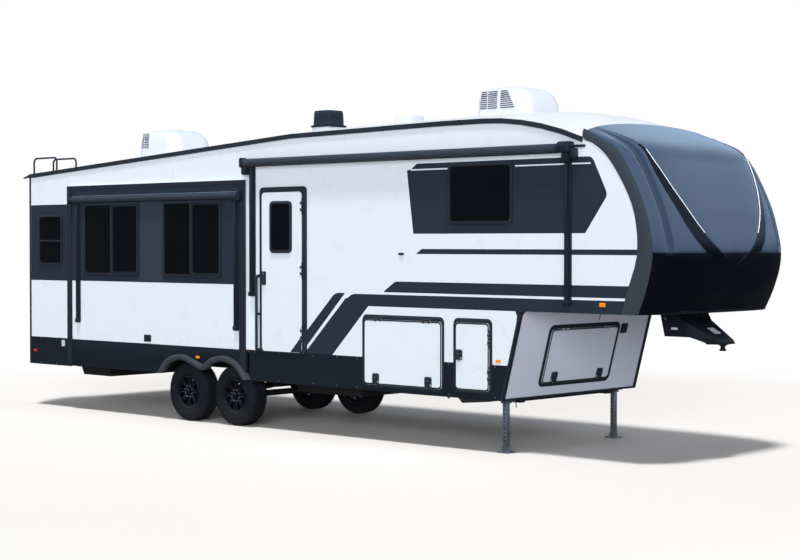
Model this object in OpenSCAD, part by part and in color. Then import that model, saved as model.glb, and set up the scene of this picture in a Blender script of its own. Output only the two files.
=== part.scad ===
// Fifth wheel travel trailer, parked on its four wheels and its two front legs.
// Measured in its own length: X runs forward from the rear wall, Y to the left,
// Z up from the ground. place() then puts the origin under the middle.

/* [Body] */
// Length of the roof from the rear wall to the nose cap
roof_l = 9740; // [9600:1:9900]
// Width over the side walls
body_w = 2440; // [2400:1:2500]
// Thickness of a side wall
wall_t = 45; // [35:1:55]
// Height of the side walls' lower edge
wall_z = 968; // [960:1:975]
// Height of the skirts' lower edge
skirt_z = 586; // [570:1:600]
// Thickness of a skirt
skirt_t = 25; // [15:1:30]
// Thickness of the living floor
floor_t = 60; // [50:1:70]
// Height of the living floor above the walls' lower edge
floor_rise = 22; // [15:1:30]
// Height of the upper deck's underside
deck_z = 1556; // [1530:1:1580]
// Thickness of the upper deck with its frame
deck_t = 124; // [110:1:140]
// Length of the upper deck from its step to the roof's front end
deck_l = 3340; // [3290:1:3440]
// Distance of the slanted front wall's foot behind the roof's front end
front_setback = 1080; // [1050:1:1100]
// Slant of that wall from the upright
front_slant = 15; // [13:1:16]

/* [Roof] */
// Height of the roof's edge at the rear wall
roof_rear_z = 3251; // [3200:1:3300]
// Place of the bend in the roof over the entry
roof_bend_x = 5370; // [5200:1:5500]
// Height of the roof's edge at that bend
roof_bend_z = 3590; // [3570:1:3600]
// Length of the roof's fall to the nose
roof_fall_l = 1340; // [1300:1:1400]
// Height of the roof's edge behind that fall
roof_top_z = 3627; // [3610:1:3640]
// Radius of that fall
roof_fall_r = 3700; // [3600:10:3900]
// Thickness of the roof at its edge
roof_t = 30; // [25:1:40]
// Rise of the roof from edge to middle
roof_crown = 115; // [100:1:130]
// Rise of the roof at the nose cap
nose_crown = 180; // [160:1:200]
// Height of the black gutter along the roof's edge
gutter_h = 55; // [45:1:65]
// Depth of the gutter out from the wall
gutter_d = 18; // [12:1:24]
// Reach of the drip spouts behind the rear wall
spout_l = 130; // [100:1:150]

/* [Nose cap] */
// Radius of the side wall's front edge
cap_r = 1380; // [1370:1:1390]
// Reach of the side wall's foremost place, ahead of the roof's front end
cap_reach = 700; // [680:1:720]
// Height of that place
cap_z = 2200; // [2190:1:2210]
// Reach of the foot of the side wall's front edge, ahead of the roof's front end
cap_foot_reach = 490; // [460:1:520]
// Thickness of the cap's shell
cap_t = 30; // [20:1:35]
// Squareness of the cap in plan
cap_square = 3.5; // [3:0.1:4]
// Height of the two fins that frame the nose
fin_h = 20; // [12:1:40]
// Depth of the flute behind each fin
flute_d = 26; // [10:1:35]
// Thickness of the trim over the joint with the wall
cap_trim_t = 8; // [5:1:10]

/* [Windows] */
// Width of a window's frame
window_frame = 32; // [24:1:40]
// How far a window's frame stands off its wall
window_proud = 14; // [8:1:20]
// Thickness of the glass
glass_t = 6; // [4:1:8]

/* [Doors] */
// Thickness of the door leaves
leaf_t = 33; // [28:1:36]
// Gap round a door leaf
leaf_gap = 6; // [5:0.5:8]
// Thickness of the door frames' flanges on the wall
flange_t = 12; // [8:1:14]
// Radius of the hinge knuckles
knuckle_r = 7; // [6:0.5:8]
// Width of the entry's frame
entry_w = 824; // [810:1:840]
// Distance of the entry's frame behind the step to the upper deck
entry_back = 752; // [740:1:770]
// Reach of the grab handle out from the wall
handle_out = 62; // [55:1:70]
// Radius of the grab handle's tube
handle_r = 12.5; // [11:0.5:15]

/* [Slide-out rooms] */
// Rear end of the two living room slides' faces
slide_x0 = 950; // [930:1:980]
// Distance of their front end from the entry's frame
slide_entry_gap = 214; // [190:1:230]
// Height of their faces' upper edge
slide_top_z = 3060; // [3040:1:3080]
// Depth of a living room slide behind its face
slide_depth = 800; // [700:1:820]
// Depth of the bedroom slide behind its face
bed_depth = 560; // [500:1:600]
// Thickness of a slide's floor, roof and ends
slide_t = 40; // [30:1:45]
// How far the face's flange laps over the wall
slide_lap = 50; // [45:1:60]
// Clearance of a slide in its opening
slide_gap = 15; // [12:1:20]
// Gap behind the closed flange, for the seal
seal_gap = 5; // [5:0.5:8]

/* [Wheels] */
// Radius of a tyre
tyre_r = 380; // [370:1:385]
// Width of a tyre
tyre_w = 235; // [225:1:240]
// Radius of a rim's edge
rim_r = 215; // [210:1:222]
// Distance of the middle between the axles behind the slides' front end
axle_back = 768; // [750:1:800]
// Distance between the axles
axle_pitch = 900; // [880:1:920]
// Distance of a tyre's middle in from the side wall's face
tyre_inset = 155; // [152:1:165]
// Radius of an axle tube
axle_r = 38; // [32:1:42]
// Number of spokes of a rim
spokes = 8; // [6:1:10]

/* [Chassis] */
// Height of the main rails
rail_h = 250; // [200:1:270]
// Width of the main rails
rail_w = 80; // [70:1:90]
// Distance of a main rail's middle in from the side wall's face
rail_inset = 430; // [425:1:440]
// Distance of the landing legs behind the slanted wall's foot
leg_setback = 130; // [120:1:140]
// Distance of a landing leg in from the side wall's face
leg_inset = 235; // [230:1:245]
// Width of a landing leg's outer tube
leg_w = 90; // [80:1:95]
// Reach of the kingpin ahead of the roof's front end
kingpin_reach = 910; // [860:1:940]
// Height of the kingpin's plate above the ground
hitch_z = 1225; // [1215:1:1235]
// Diameter of the kingpin's neck
kingpin_d = 50.8; // [50:0.1:51]
// Diameter of the kingpin's flange
kingpin_flange_d = 73; // [72:0.1:74]

/* [Hidden] */
$fn = 48;
eps = 0.3;
wy = body_w / 2;
floor_z = wall_z + floor_rise;
deck_top = deck_z + deck_t;
front_x = roof_l - front_setback;
deck_x = roof_l - deck_l;
entry_x0 = deck_x - entry_back - entry_w;
slide_x1 = entry_x0 - slide_entry_gap;
slide_mid = (slide_x0 + slide_x1) / 2;
axle_mid_x = slide_x1 - axle_back;
roof_fall_x = roof_l - roof_fall_l;
cap_x = roof_l + cap_reach;
cap_foot_x = roof_l + cap_foot_reach;
leg_x = front_x - leg_setback;
leg_y = wy - leg_inset;
rail_y = wy - rail_inset;
track_half = wy - tyre_inset;
kingpin_x = roof_l + kingpin_reach;
hitch_tip = kingpin_x + 230;
mid_x = (hitch_tip - spout_l) / 2;
front_run = tan(front_slant);
function front_at(z) = front_x + (z - skirt_z) * front_run;

// Roof edge seen from the side: two straight runs and the fall to the nose
roof_n = 5;
roof_flat_l = 630;
function fall_z(x) = roof_top_z - roof_fall_r + sqrt(roof_fall_r ^ 2 - (x - roof_fall_x) ^ 2);
roof_line = concat(
    [[0, roof_rear_z], [roof_bend_x, roof_bend_z], [roof_fall_x - roof_flat_l, roof_top_z],
        [roof_fall_x, roof_top_z]],
    [for (i = [1:roof_n]) let (x = roof_fall_x + (roof_l - roof_fall_x) * i / roof_n) [x, fall_z(x)]]
);
function roof_edge(x) = lookup(x, roof_line);
function crown_at(x) = lookup(x, [[roof_fall_x, roof_crown], [roof_l, nose_crown]]);
roof_steps = [-1, -0.86, -0.7, -0.5, -0.286, 0, 0.286, 0.5, 0.7, 0.86, 1];

// A smooth run through the values of a list, which passes through each of them
function curve_at(list, t) =
    let (n = len(list) - 1, i = min(floor(t), n - 1), f = t - i)
    let (a = list[max(0, i - 1)], b = list[i], c = list[i + 1], d = list[min(n, i + 2)])
    0.5 * (2 * b + (c - a) * f + (2 * a - 5 * b + 4 * c - d) * f ^ 2 + (3 * b - a - 3 * c + d) * f ^ 3);

// Nose cap: one row per height. Columns are the place of the row along the side
// wall's front edge, the nose on the centre line with its reach ahead of the roof's
// end, the lean of the skin there, and the fin's distance from the centre line.
function cap_arc(a) = [cap_x - cap_r + cap_r * cos(a), cap_z + cap_r * sin(a)];
function cap_foot(k) = [cap_foot_x + (cap_x - cap_foot_x) * k, deck_z + (cap_z - deck_z) * k];
CAP_ROWS = [
    // edge, nose reach, nose z, lean, fin y
    [cap_foot(0), 900, deck_z, 0, 150],
    [cap_foot(0.41), 1015, 1820, 0, 150],
    [cap_foot(0.92), 1050, 2150, 4, 190],
    [cap_arc(12), 962, 2500, 12, 597],
    [cap_arc(24), 855, 2775, 22, 767],
    [cap_arc(40), 690, 3110, 38, 897],
    [cap_arc(50), 545, 3310, 56, 930],
    [[roof_l, roof_edge(roof_l)], 0, roof_edge(roof_l) + nose_crown, 90, 925]
];
cap_last = len(CAP_ROWS) - 1;
cap_div = 3;
CAP_VALUES = [for (r = CAP_ROWS) [r[0].x, r[0].y, roof_l + r[1], r[2], r[3], r[4]]];
function smooth(t) = curve_at(CAP_VALUES, t);
function cap_edge(t) = let (v = smooth(t)) [v[0], v[1]];
function bulge(s) = pow(max(0, 1 - pow(abs(s), cap_square)), 1 / cap_square);
function cap_point(t, s, out, side) =
    let (v = smooth(t), g = bulge(s), o = out * g)
    [v[0] + (v[2] - v[0]) * g + o * cos(v[4]), s * (wy + side), v[1] + (v[3] - v[1]) * g + o * sin(v[4])];
// Across a row: the side's curve, the flute, the fin and the field between the fins
cap_sides = [1, 0.998, 0.992, 0.98, 0.96, 0.93];
fin_foot = 0.045;
function cap_columns(t) =
    let (f = smooth(t)[5] / wy, fade = lookup(t, [[1.6, 0], [2.4, 1], [6, 1], [6.8, 0]]))
    let (m = (0.8 + f + 0.14) / 2)
    concat(
        [for (s = cap_sides) [s, 0]],
        [[0.88, -flute_d * fade * 0.6], [0.84, -flute_d * fade], [max(0.8, f + 0.06), -flute_d * fade * 0.5]],
        f < 0.5 ? [[m, 0]] : [],
        f < 0.5 ? [] : [[(max(0.8, f + 0.06) + f + 0.05) / 2, 0]],
        [[f + fin_foot, 0], [f + 0.02, fin_h * fade], [f, fin_h * fade], [f * 0.96, 0]],
        [[f * 0.7, 0], [f * 0.35, 0]]
    );
function cap_row(t) =
    let (c = cap_columns(t))
    concat(c, [[0, 0]], [for (i = [len(c) - 1:-1:0]) [-c[i][0], c[i][1]]]);

// Wheel places, each with its end of the pair and its side
WHEELS = [
    // name, along, side
    ["right_rear", -1, -1], ["right_front", 1, -1], ["left_rear", -1, 1], ["left_front", 1, 1]
];
function axle_x(i) = axle_mid_x + i * axle_pitch / 2;

// Windows: columns are rear end, front end, lower edge, upper edge, mullion place
REAR_WINDOW = [217, 777, 1971, 2676, 0];
BED_WINDOW = [roof_l - 1844, roof_l - 926, 2485, 3152, 0];
function sash(x0, x1, z0, z1, part) = [x0, x1, z0, z1, x0 + (x1 - x0) * part];
FRONT_SASH = [slide_mid + 235, slide_x1 - 452];
SLIDE_WINDOWS = [
    sash(slide_x0 + 380, slide_mid - 264, 1849, 2820, 0.506), sash(FRONT_SASH[0], FRONT_SASH[1], 1849, 2820, 0.486)
];
KITCHEN_WINDOWS = [
    [slide_x0 + 550, slide_mid - 280, 1990, 2560, 0],
    sash(FRONT_SASH[0] + 185, FRONT_SASH[1], 1849, 2820, 0.386)
];

// Side doors: columns are the frame's rear end, front end, lower and upper edge,
// then the frame's width at the rear, the front, the bottom and the top
ENTRY = [entry_x0, entry_x0 + entry_w, 950, 2960, 43, 81, 19, 64];
STORAGE = [front_x - 2080, front_x - 830, 635, 1440, 24, 24, 24, 30];
LOCKER = [front_x - 680, front_x - 136, 650, 1440, 24, 30, 24, 24];
// The front door's frame on the slanted wall, measured up along that wall
front_door_w = 1270;
FRONT_DOOR = [-front_door_w / 2, front_door_w / 2, 135, 815, 24, 24, 24, 30];
jamb_in = 15;
door_r = 60;
BED_SLIDE = [roof_l - 2630, roof_l - 1050, deck_top, 3390];

module place() { translate([-mid_x, 0, 0]) children(); }

// Draws its children on the right side, or mirrored on the left
module on_side(side) { mirror([0, side > 0 ? 0 : 1, 0]) translate([0, wy, 0]) children(); }

// A plate that stands in the XZ plane: t thick, inward from the wall's face.
// out moves its outer face away from the trailer.
module sheet_xz(t, out = 0) {
    translate([0, out, 0]) rotate([90, 0, 0]) linear_extrude(height = t) children();
}

module rect(x0, x1, z0, z1) { translate([x0, z0]) square([x1 - x0, z1 - z0]); }

module round_rect(x0, x1, z0, z1, r) {
    rect(x0 + r, x1 - r, z0, z1);
    rect(x0, x1, z0 + r, z1 - r);
    for (x = [x0 + r, x1 - r], z = [z0 + r, z1 - r]) translate([x, z]) circle(r);
}

module box(x0, x1, y0, y1, z0, z1) { translate([x0, y0, z0]) cube([x1 - x0, y1 - y0, z1 - z0]); }

// A box on both sides of the centre line
module twin_box(x0, x1, y0, y1, z0, z1) {
    for (m = [0, 1]) mirror([0, m, 0]) box(x0, x1, y0, y1, z0, z1);
}

function flip(f) = [for (i = [len(f) - 1:-1:0]) f[i]];
// Triangles of a grid of r rows and c columns whose first point has number k
function grid_faces(r, c, k = 0) = [
    for (i = [0:r - 2], j = [0:c - 2]) let (a = k + i * c + j)
        for (f = [[a, a + 1, a + c + 1], [a, a + c + 1, a + c]]) f
];
// Triangles that close the rim between two equal grids, k points apart
function rim_faces(r, c, k) =
    let (loop = concat([for (j = [0:c - 2]) j], [for (i = [0:r - 2]) i * c + c - 1],
        [for (j = [c - 1:-1:1]) (r - 1) * c + j], [for (i = [r - 1:-1:1]) i * c]))
    [for (i = [0:len(loop) - 1]) let (a = loop[i], b = loop[(i + 1) % len(loop)])
        for (f = [[b, a, a + k], [b, a + k, b + k]]) f];
module shell(outer, inner, r, c) {
    k = r * c;
    faces = concat(grid_faces(r, c), [for (f = grid_faces(r, c, k)) flip(f)], rim_faces(r, c, k));
    polyhedron(points = concat(outer, inner), faces = faces);
}

// Everything under the roof's surface down to a level, to seat what stands on it
module under_roof(z) {
    n = len(roof_line);
    c = len(roof_steps);
    top = [for (p = roof_line, s = roof_steps)
        [p.x, s * wy, p.y + crown_at(p.x) * (1 - s * s)]];
    low = [for (p = roof_line, s = roof_steps) [p.x, s * wy, min(z, p.y - roof_t)]];
    shell(top, low, n, c);
}

module roof() color("white") place() under_roof(roof_top_z);

// Side wall outline with the roof's line above and the cap's edge in front
module wall_outline() {
    cap_ts = [for (i = [cap_last * cap_div - 1:-1:0]) i / cap_div];
    polygon(concat(
        [[0, wall_z]], [for (p = roof_line) [p.x, p.y - roof_t]],
        [for (t = cap_ts) let (p = cap_edge(t)) if (p.y < roof_edge(roof_l) - roof_t) p],
        [[front_at(deck_z), deck_z], [front_at(wall_z), wall_z]]
    ));
}

module door_hole(d) { round_rect(d[0] + jamb_in, d[1] - jamb_in, d[2] + jamb_in, d[3] - jamb_in, door_r); }

module window_hole(w) {
    round_rect(w[0] + jamb_in, w[1] - jamb_in, w[2] + jamb_in, w[3] - jamb_in, 45);
}

module slide_bay() { rect(slide_x0 + slide_lap, slide_x1 - slide_lap, 0, slide_top_z - slide_lap); }

module bed_bay() { rect(BED_SLIDE[0] + slide_lap, BED_SLIDE[1] - slide_lap, BED_SLIDE[2], BED_SLIDE[3] - slide_lap); }

module side_wall_right() color("whitesmoke") place() on_side(-1) sheet_xz(wall_t) difference() {
    wall_outline();
    slide_bay();
    for (w = [REAR_WINDOW, BED_WINDOW]) window_hole(w);
    for (d = [ENTRY, STORAGE, LOCKER]) door_hole(d);
}

module side_wall_left() color("whitesmoke") place() on_side(1) sheet_xz(wall_t) difference() {
    wall_outline();
    slide_bay();
    bed_bay();
    window_hole(REAR_WINDOW);
    door_hole(STORAGE);
}

rear_window_y = wy - 470;
module rear_wall() color("whitesmoke") place() on_rear() sheet_xz(wall_t) difference() {
    union() {
        rect(-wy + wall_t, wy - wall_t, wall_z, roof_edge(0) - roof_t);
        rect(-wy + skirt_t, wy - skirt_t, skirt_z, wall_z);
    }
    window_hole(REAR_GLASS);
}

// Angle mouldings over the rear corners and round the slanted front wall's edges
corner_t = 6;
corner_w = 32;
front_moulding_w = 20;
front_moulding_t = 9;
module corner_mouldings() color("black") place() {
    for (m = [0, 1]) mirror([0, m, 0]) translate([0, 0, skirt_z])
        linear_extrude(height = roof_rear_z - gutter_h - skirt_z - 1)
        polygon([[-corner_t, wy - corner_w], [-corner_t, wy + corner_t], [corner_w, wy + corner_t],
            [corner_w, wy], [0, wy], [0, wy - corner_w]]);
    difference() {
        on_front_wall() {
            for (m = [0, 1]) mirror([m, 0, 0]) rotate([-90, 0, 0]) translate([0, 0, -front_moulding_w])
                linear_extrude(height = deck_z)
                polygon([[wy - front_moulding_w, -eps], [wy - front_moulding_w, -front_moulding_t],
                    [wy + corner_t, -front_moulding_t], [wy + corner_t, 25], [wy + eps, 25], [wy + eps, -eps]]);
            linear_extrude(height = front_moulding_t)
                rect(front_moulding_w - wy, wy - front_moulding_w, 0, front_moulding_w);
        }
        box(front_x - 500, front_x + 500, -wy - 50, wy + 50, 0, skirt_z);
        box(front_x - 500, cap_x, -wy - 50, wy + 50, deck_z, roof_top_z);
    }
}

// Puts its children in the slanted wall's plane: X across, Y up along it, Z out
module on_front_wall() {
    translate([front_x, 0, skirt_z]) rotate([0, front_slant, 0]) rotate([90, 0, 90]) children();
}

module front_wall() color("gainsboro") place() {
    h = (deck_z - skirt_z) / cos(front_slant);
    difference() {
        on_front_wall() translate([0, 0, -wall_t]) linear_extrude(height = wall_t) difference() {
            rect(-wy + wall_t, wy - wall_t, -50, h + 50);
            door_hole(FRONT_DOOR);
        }
        box(front_x - 500, front_at(deck_z) + 500, -wy, wy, skirt_z - 200, skirt_z);
        box(front_x - 500, front_at(deck_z) + 500, -wy, wy, deck_z, deck_z + 200);
    }
}

// Black gutter moulding along the roof's edge, with a drip spout at each end
module gutters() color("black") place() for (side = [-1, 1]) on_side(side) {
    sheet_xz(gutter_d, gutter_d) {
        top = [for (p = roof_line) [p.x, p.y]];
        low = [for (i = [len(roof_line) - 1:-1:0]) [roof_line[i].x, roof_line[i].y - gutter_h]];
        polygon(concat(top, low));
        polygon([[0, roof_rear_z - 8], [0, roof_rear_z - 44], [-spout_l, roof_rear_z - 62], [-spout_l, roof_rear_z - 46]]);
    }
}

module nose_cap() color("darkslategray") place() {
    ts = [for (i = [0:cap_last * cap_div]) i / cap_div];
    c = len(cap_row(0));
    outer = [for (t = ts, q = cap_row(t)) cap_point(t, q[0], q[1], 0)];
    inner = [for (t = ts, q = cap_row(t)) cap_point(t, q[0], min(0, q[1]) - cap_t, -cap_t)];
    shell(inner, outer, len(ts), c);
}

// The trim lies on the cap's outermost columns, in their order, beside the wall's edge
cap_trim_n = 3;
module cap_trim() color("dimgray") place() {
    ts = [for (i = [0:cap_last * cap_div]) i / cap_div];
    right = [for (i = [0:cap_trim_n]) cap_sides[i]];
    left = [for (i = [cap_trim_n:-1:0]) -cap_sides[i]];
    for (ss = [right, left]) {
        outer = [for (t = ts, s = ss) cap_point(t, s, cap_trim_t, cap_trim_t)];
        inner = [for (t = ts, s = ss) cap_point(t, s, 0, 0)];
        shell(inner, outer, len(ts), len(ss));
    }
}

// Strip lamps down the nose, each along the outer foot of its fin
nose_lamp_w = 14;
nose_lamp_t = 8;
nose_lamp_rows = [8, 17];
module nose_lamps() color("white") place() {
    ts = [for (i = [nose_lamp_rows[0]:nose_lamp_rows[1]]) i / cap_div];
    for (side = [1, -1]) {
        places = [for (t = ts) let (foot = smooth(t)[5] / wy + fin_foot, edge = foot + nose_lamp_w / wy)
            side > 0 ? [edge, foot] : [-foot, -edge]];
        outer = [for (i = [0:len(ts) - 1], s = places[i]) cap_point(ts[i], s, nose_lamp_t, 0)];
        inner = [for (i = [0:len(ts) - 1], s = places[i]) cap_point(ts[i], s, eps, 0)];
        shell(inner, outer, len(ts), 2);
    }
}

module living_floor() color("tan") place()
    box(wall_t, deck_x, -wy + wall_t, wy - wall_t, floor_z - floor_t, floor_z);

// The upper deck with the step's bulkhead, and its nose inside the cap
module upper_deck() color("tan") place() {
    box(deck_x, cap_foot_x, -wy + wall_t, wy - wall_t, deck_z, deck_top);
    box(deck_x, deck_x + 40, -wy + wall_t, wy - wall_t, skirt_z + 34, deck_z);
    pts = [for (q = cap_row(0)) let (p = cap_point(0, q[0], -cap_t, -cap_t)) [p.x, p.y * 0.985]];
    translate([0, 0, deck_z]) linear_extrude(height = deck_t)
        intersection() {
            polygon(pts);
            translate([cap_foot_x, -wy]) square([1000, body_w]);
        }
}

module storage_floor() color("dimgray") place() difference() {
    box(deck_x, front_x - wall_t / cos(front_slant), -wy + skirt_t, wy - skirt_t, skirt_z, skirt_z + 34);
    twin_box(leg_x - leg_w / 2, leg_x + leg_w / 2, leg_y - leg_w / 2, leg_y + leg_w / 2, 0, deck_z);
}

// Skirt below the wall, left open where the slide's own skirt hangs
module skirt_outline() {
    difference() {
        polygon([[0, skirt_z], [0, wall_z], [front_at(wall_z), wall_z], [front_x, skirt_z]]);
        rect(slide_x0 - seal_gap, slide_x1 + seal_gap, 0, wall_z + 1);
    }
}

module skirt_right() color("darkslategray") place() on_side(-1) sheet_xz(skirt_t) difference() {
    skirt_outline();
    for (d = [ENTRY, STORAGE, LOCKER]) door_hole(d);
}

module skirt_left() color("darkslategray") place() on_side(1) sheet_xz(skirt_t) difference() {
    skirt_outline();
    door_hole(STORAGE);
}

// Main rails, cross members, and the upper deck's rails
rail_top = floor_z - floor_t;
rail_end = deck_x;
module i_rail(x0, x1, z0, z1) {
    box(x0, x1, -rail_w / 2, rail_w / 2, z0, z0 + 10);
    box(x0, x1, -rail_w / 2, rail_w / 2, z1 - 10, z1);
    box(x0, x1, -4, 4, z0 + 10, z1 - 10);
}

module chassis_frame() color("black") place() {
    for (s = [-1, 1]) translate([0, s * rail_y, 0]) i_rail(wall_t, rail_end, rail_top - rail_h, rail_top);
    for (x = [200, TANKS[0][1] + 40, slide_mid - 80, TANKS[1][0] - 100, deck_x - 100]) {
        box(x, x + 50, -rail_y + 4, rail_y - 4, rail_top - 120, rail_top - 20);
        twin_box(x, x + 50, rail_y + 4, wy - wall_t - 30, rail_top - 80, rail_top);
    }
    twin_box(deck_x, front_x - 60, rail_y - 40, rail_y + 40, skirt_z - 50, skirt_z);
    for (x = [deck_x, leg_x - 80]) box(x, x + 50, -rail_y + 40, rail_y - 40, skirt_z - 50, skirt_z);
}

// Pin box under the deck's nose: two bolted side plates, the slanted box, the hitch
// plate and the kingpin. Places are measured back from the kingpin.
pin_w = 270;
pin_plate = 12;
hitch_plate = 13;
PIN_SIDE = [
    // behind the kingpin, above the hitch plate's underside
    [660, 105], [350, 75], [270, hitch_plate]
];
KINGPIN = [
    // radius, depth below the plate
    [0, 0], [60, 0], [60, 6], [kingpin_flange_d / 2, 12], [kingpin_flange_d / 2, 18],
    [kingpin_d / 2, 18], [kingpin_d / 2, 50], [kingpin_flange_d / 2, 52],
    [kingpin_flange_d / 2, 66], [30, 72], [0, 72]
];
module pin_box() color("black") place() {
    twin_box(kingpin_x - 720, kingpin_x - 250, pin_w, pin_w + pin_plate, hitch_z + 65, deck_z);
    difference() {
        rotate([90, 0, 0]) linear_extrude(height = 2 * pin_w, center = true) polygon(concat(
            [[kingpin_x - 660, deck_z], [kingpin_x - 170, deck_z], [kingpin_x - 130, deck_z - 56],
                [hitch_tip, hitch_z + 105], [hitch_tip, hitch_z + hitch_plate]],
            [for (i = [len(PIN_SIDE) - 1:-1:0]) [kingpin_x - PIN_SIDE[i][0], hitch_z + PIN_SIDE[i][1]]]
        ));
        twin_box(kingpin_x - 210, hitch_tip + 1, 190, pin_w + 1, 0, deck_z - 56);
    }
    box(kingpin_x - 240, hitch_tip, -200, 200, hitch_z, hitch_z + hitch_plate);
    translate([kingpin_x, 0, hitch_z]) mirror([0, 0, 1]) rotate_extrude() polygon(KINGPIN);
}

leg_tube_z = 420;
module landing_legs() color("silver") place() for (s = [-1, 1]) translate([leg_x, s * leg_y, 0]) {
    inner_w = leg_w - 18;
    translate([-leg_w / 2, -leg_w / 2, leg_tube_z]) cube([leg_w, leg_w, deck_z - 76 - leg_tube_z]);
    translate([-inner_w / 2, -inner_w / 2, 10]) cube([inner_w, inner_w, leg_tube_z]);
    translate([-110, -75, 0]) cube([220, 150, 10]);
    for (m = [0, 1]) mirror([m, 0, 0]) rotate([90, 0, 0]) linear_extrude(height = 8, center = true)
        polygon([[30, 10], [95, 10], [30, 90]]);
    translate([0, 0, skirt_z - 6]) cube([leg_w + 60, leg_w + 40, 12], center = true);
}

// Where the rim's disc begins, outward from the tyre's middle
disc_in = tyre_w / 2 - 46;
disc_t = 30;
module axles() color("dimgray") place() for (i = [-1, 1]) translate([axle_x(i), 0, tyre_r]) {
    tube_y(0, -track_half + 110, track_half - 110, 0, axle_r);
    for (m = [0, 1]) mirror([0, m, 0]) {
        // brake drum, hub and the seat of the spring
        tube_y(0, track_half - 120, track_half - 50, 0, 155);
        tube_y(0, track_half - 51, track_half + disc_in - eps, 0, 50);
        box(-60, 60, rail_y - 38, rail_y + 38, axle_r - 12, axle_r + 10);
    }
}

// One spring over each axle, their hangers, and the rocker between the two
spring_z = tyre_r + axle_r + 10;
module spring(x0, x1) {
    h = 62;
    r = ((x1 - x0) ^ 2 / 4 + h ^ 2) / (2 * h);
    for (k = [0:2]) intersection() {
        translate([(x0 + x1) / 2, 0, spring_z + r + k * 11]) rotate([90, 0, 0]) difference() {
            cylinder(r = r, h = 60, center = true, $fn = 96);
            cylinder(r = r - 10, h = 70, center = true, $fn = 96);
        }
        box(x0 + (2 - k) * 110, x1 - (2 - k) * 110, -40, 40, 0, spring_z + 200);
    }
}

module leaf_springs() color("dimgray") place() for (s = [-1, 1]) translate([0, s * rail_y, 0]) {
    for (i = [-1, 1]) spring(axle_x(i) - 360, axle_x(i) + 360);
    for (x = [axle_x(-1) - 360, axle_x(1) + 360]) {
        box(x - 25, x + 25, -34, 34, spring_z + 60, rail_top - rail_h);
    }
    box(axle_mid_x - 120, axle_mid_x + 120, -34, 34, spring_z + 66, spring_z + 100);
    box(axle_mid_x - 25, axle_mid_x + 25, -34, 34, spring_z + 100, rail_top - rail_h);
}

// Tanks hung between the rails: columns are the rear end, the front end and the lower edge
TANKS = [[350, 1210, 420], [deck_x - 1620, deck_x - 300, 430]];
tank_y = rail_y - 90;
module holding_tanks() color("dimgray") place() for (t = TANKS) {
    box(t[0], t[1], -tank_y, tank_y, rail_top - 130, rail_top);
    hull() {
        box(t[0], t[1], -tank_y, tank_y, rail_top - 130, rail_top - 126);
        box(t[0] + 120, t[1] - 120, -tank_y + 60, tank_y - 60, t[2], t[2] + 4);
    }
}

// Bumper: a square tube on two stubs against the rear wall, under the rails' ends
bumper_z = 600;
bumper_h = 100;
module rear_bumper() color("black") place() {
    box(-95, -10, -wy + 140, wy - 140, bumper_z, bumper_z + bumper_h);
    twin_box(-10, 0, rail_y - 40, rail_y + 40, bumper_z - 20, bumper_z + bumper_h);
}

module stabilisers() color("dimgray") place() for (s = [-1, 1]) translate([0, s * rail_y, 0]) {
    box(560, 960, -45, 45, rail_top - rail_h - 40, rail_top - rail_h);
    box(600, 930, -30, 30, rail_top - rail_h - 90, rail_top - rail_h - 40);
    box(610, 700, -70, 70, rail_top - rail_h - 130, rail_top - rail_h - 90);
}

// Air conditioners: a gasket curb cut to the roof, and a moulded shroud. The shroud is
// what three outlines share: from the side with a bowed front, from the rear with round
// shoulders, and from above with a narrower front. Louvres are cut in its flanks.
AIRCONS = [
    // rear end, length, height, height of the top
    [1383, 735, 360, 3860], [roof_l - 2178, 735, 320, 4065]
];
aircon_w = 700;
shroud_r = 55;
shroud_base = 50;
SHROUD_TOP = [
    // place along, as a share of the length, and rise, as a share of the height
    [0, 0], [0.01, 0.55], [0.03, 0.84], [0.06, 0.97], [0.1, 1], [0.52, 1], [0.62, 0.99],
    [0.7, 0.95], [0.78, 0.87], [0.85, 0.73], [0.91, 0.55], [0.96, 0.36], [1, 0]
];
SHROUD_SIDE = [
    // place along, and half the width, as shares
    [0, 0.95], [0.03, 0.99], [0.08, 1], [0.7, 1], [0.82, 0.96], [0.91, 0.85], [1, 0.66]
];
louvre_depth = 12;
louvre_h = 11;
LOUVRES = [[45, 150], [165, 300], [350, 520]];
louvre_n = 7;
module shroud(length, h) {
    w = aircon_w / 2;
    intersection() {
        rotate([90, 0, 0]) linear_extrude(height = aircon_w, center = true) polygon(concat(
            [[length, 0], [0, 0]], [for (p = SHROUD_TOP) [p.x * length, shroud_base + p.y * (h - shroud_base)]]));
        rotate([90, 0, 90]) linear_extrude(height = length) round_rect(-w, w, -h, h, shroud_r);
        linear_extrude(height = h) polygon(concat(
            [for (p = SHROUD_SIDE) [p.x * length, p.y * w]],
            [for (i = [len(SHROUD_SIDE) - 1:-1:0]) [SHROUD_SIDE[i].x * length, -SHROUD_SIDE[i].y * w]]));
    }
}
module louvres(h) {
    pitch = (h - shroud_base - shroud_r) / louvre_n;
    for (m = [0, 1]) mirror([0, m, 0]) translate([0, aircon_w / 2 + 1, 0]) rotate([90, 0, 0])
        linear_extrude(height = louvre_depth + 1)
        for (g = LOUVRES, k = [0:louvre_n - 1]) translate([g[0], shroud_base + 10 + k * pitch]) square([g[1] - g[0], louvre_h]);
}
module air_conditioners() color("white") place() for (a = AIRCONS) difference() {
    translate([a[0], 0, a[3] - a[2]]) {
        difference() {
            shroud(a[1], a[2]);
            louvres(a[2]);
        }
        w = aircon_w / 2 - 60;
        box(80, a[1] - 100, -w, w, -150, 1);
    }
    under_roof(2900);
}

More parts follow.
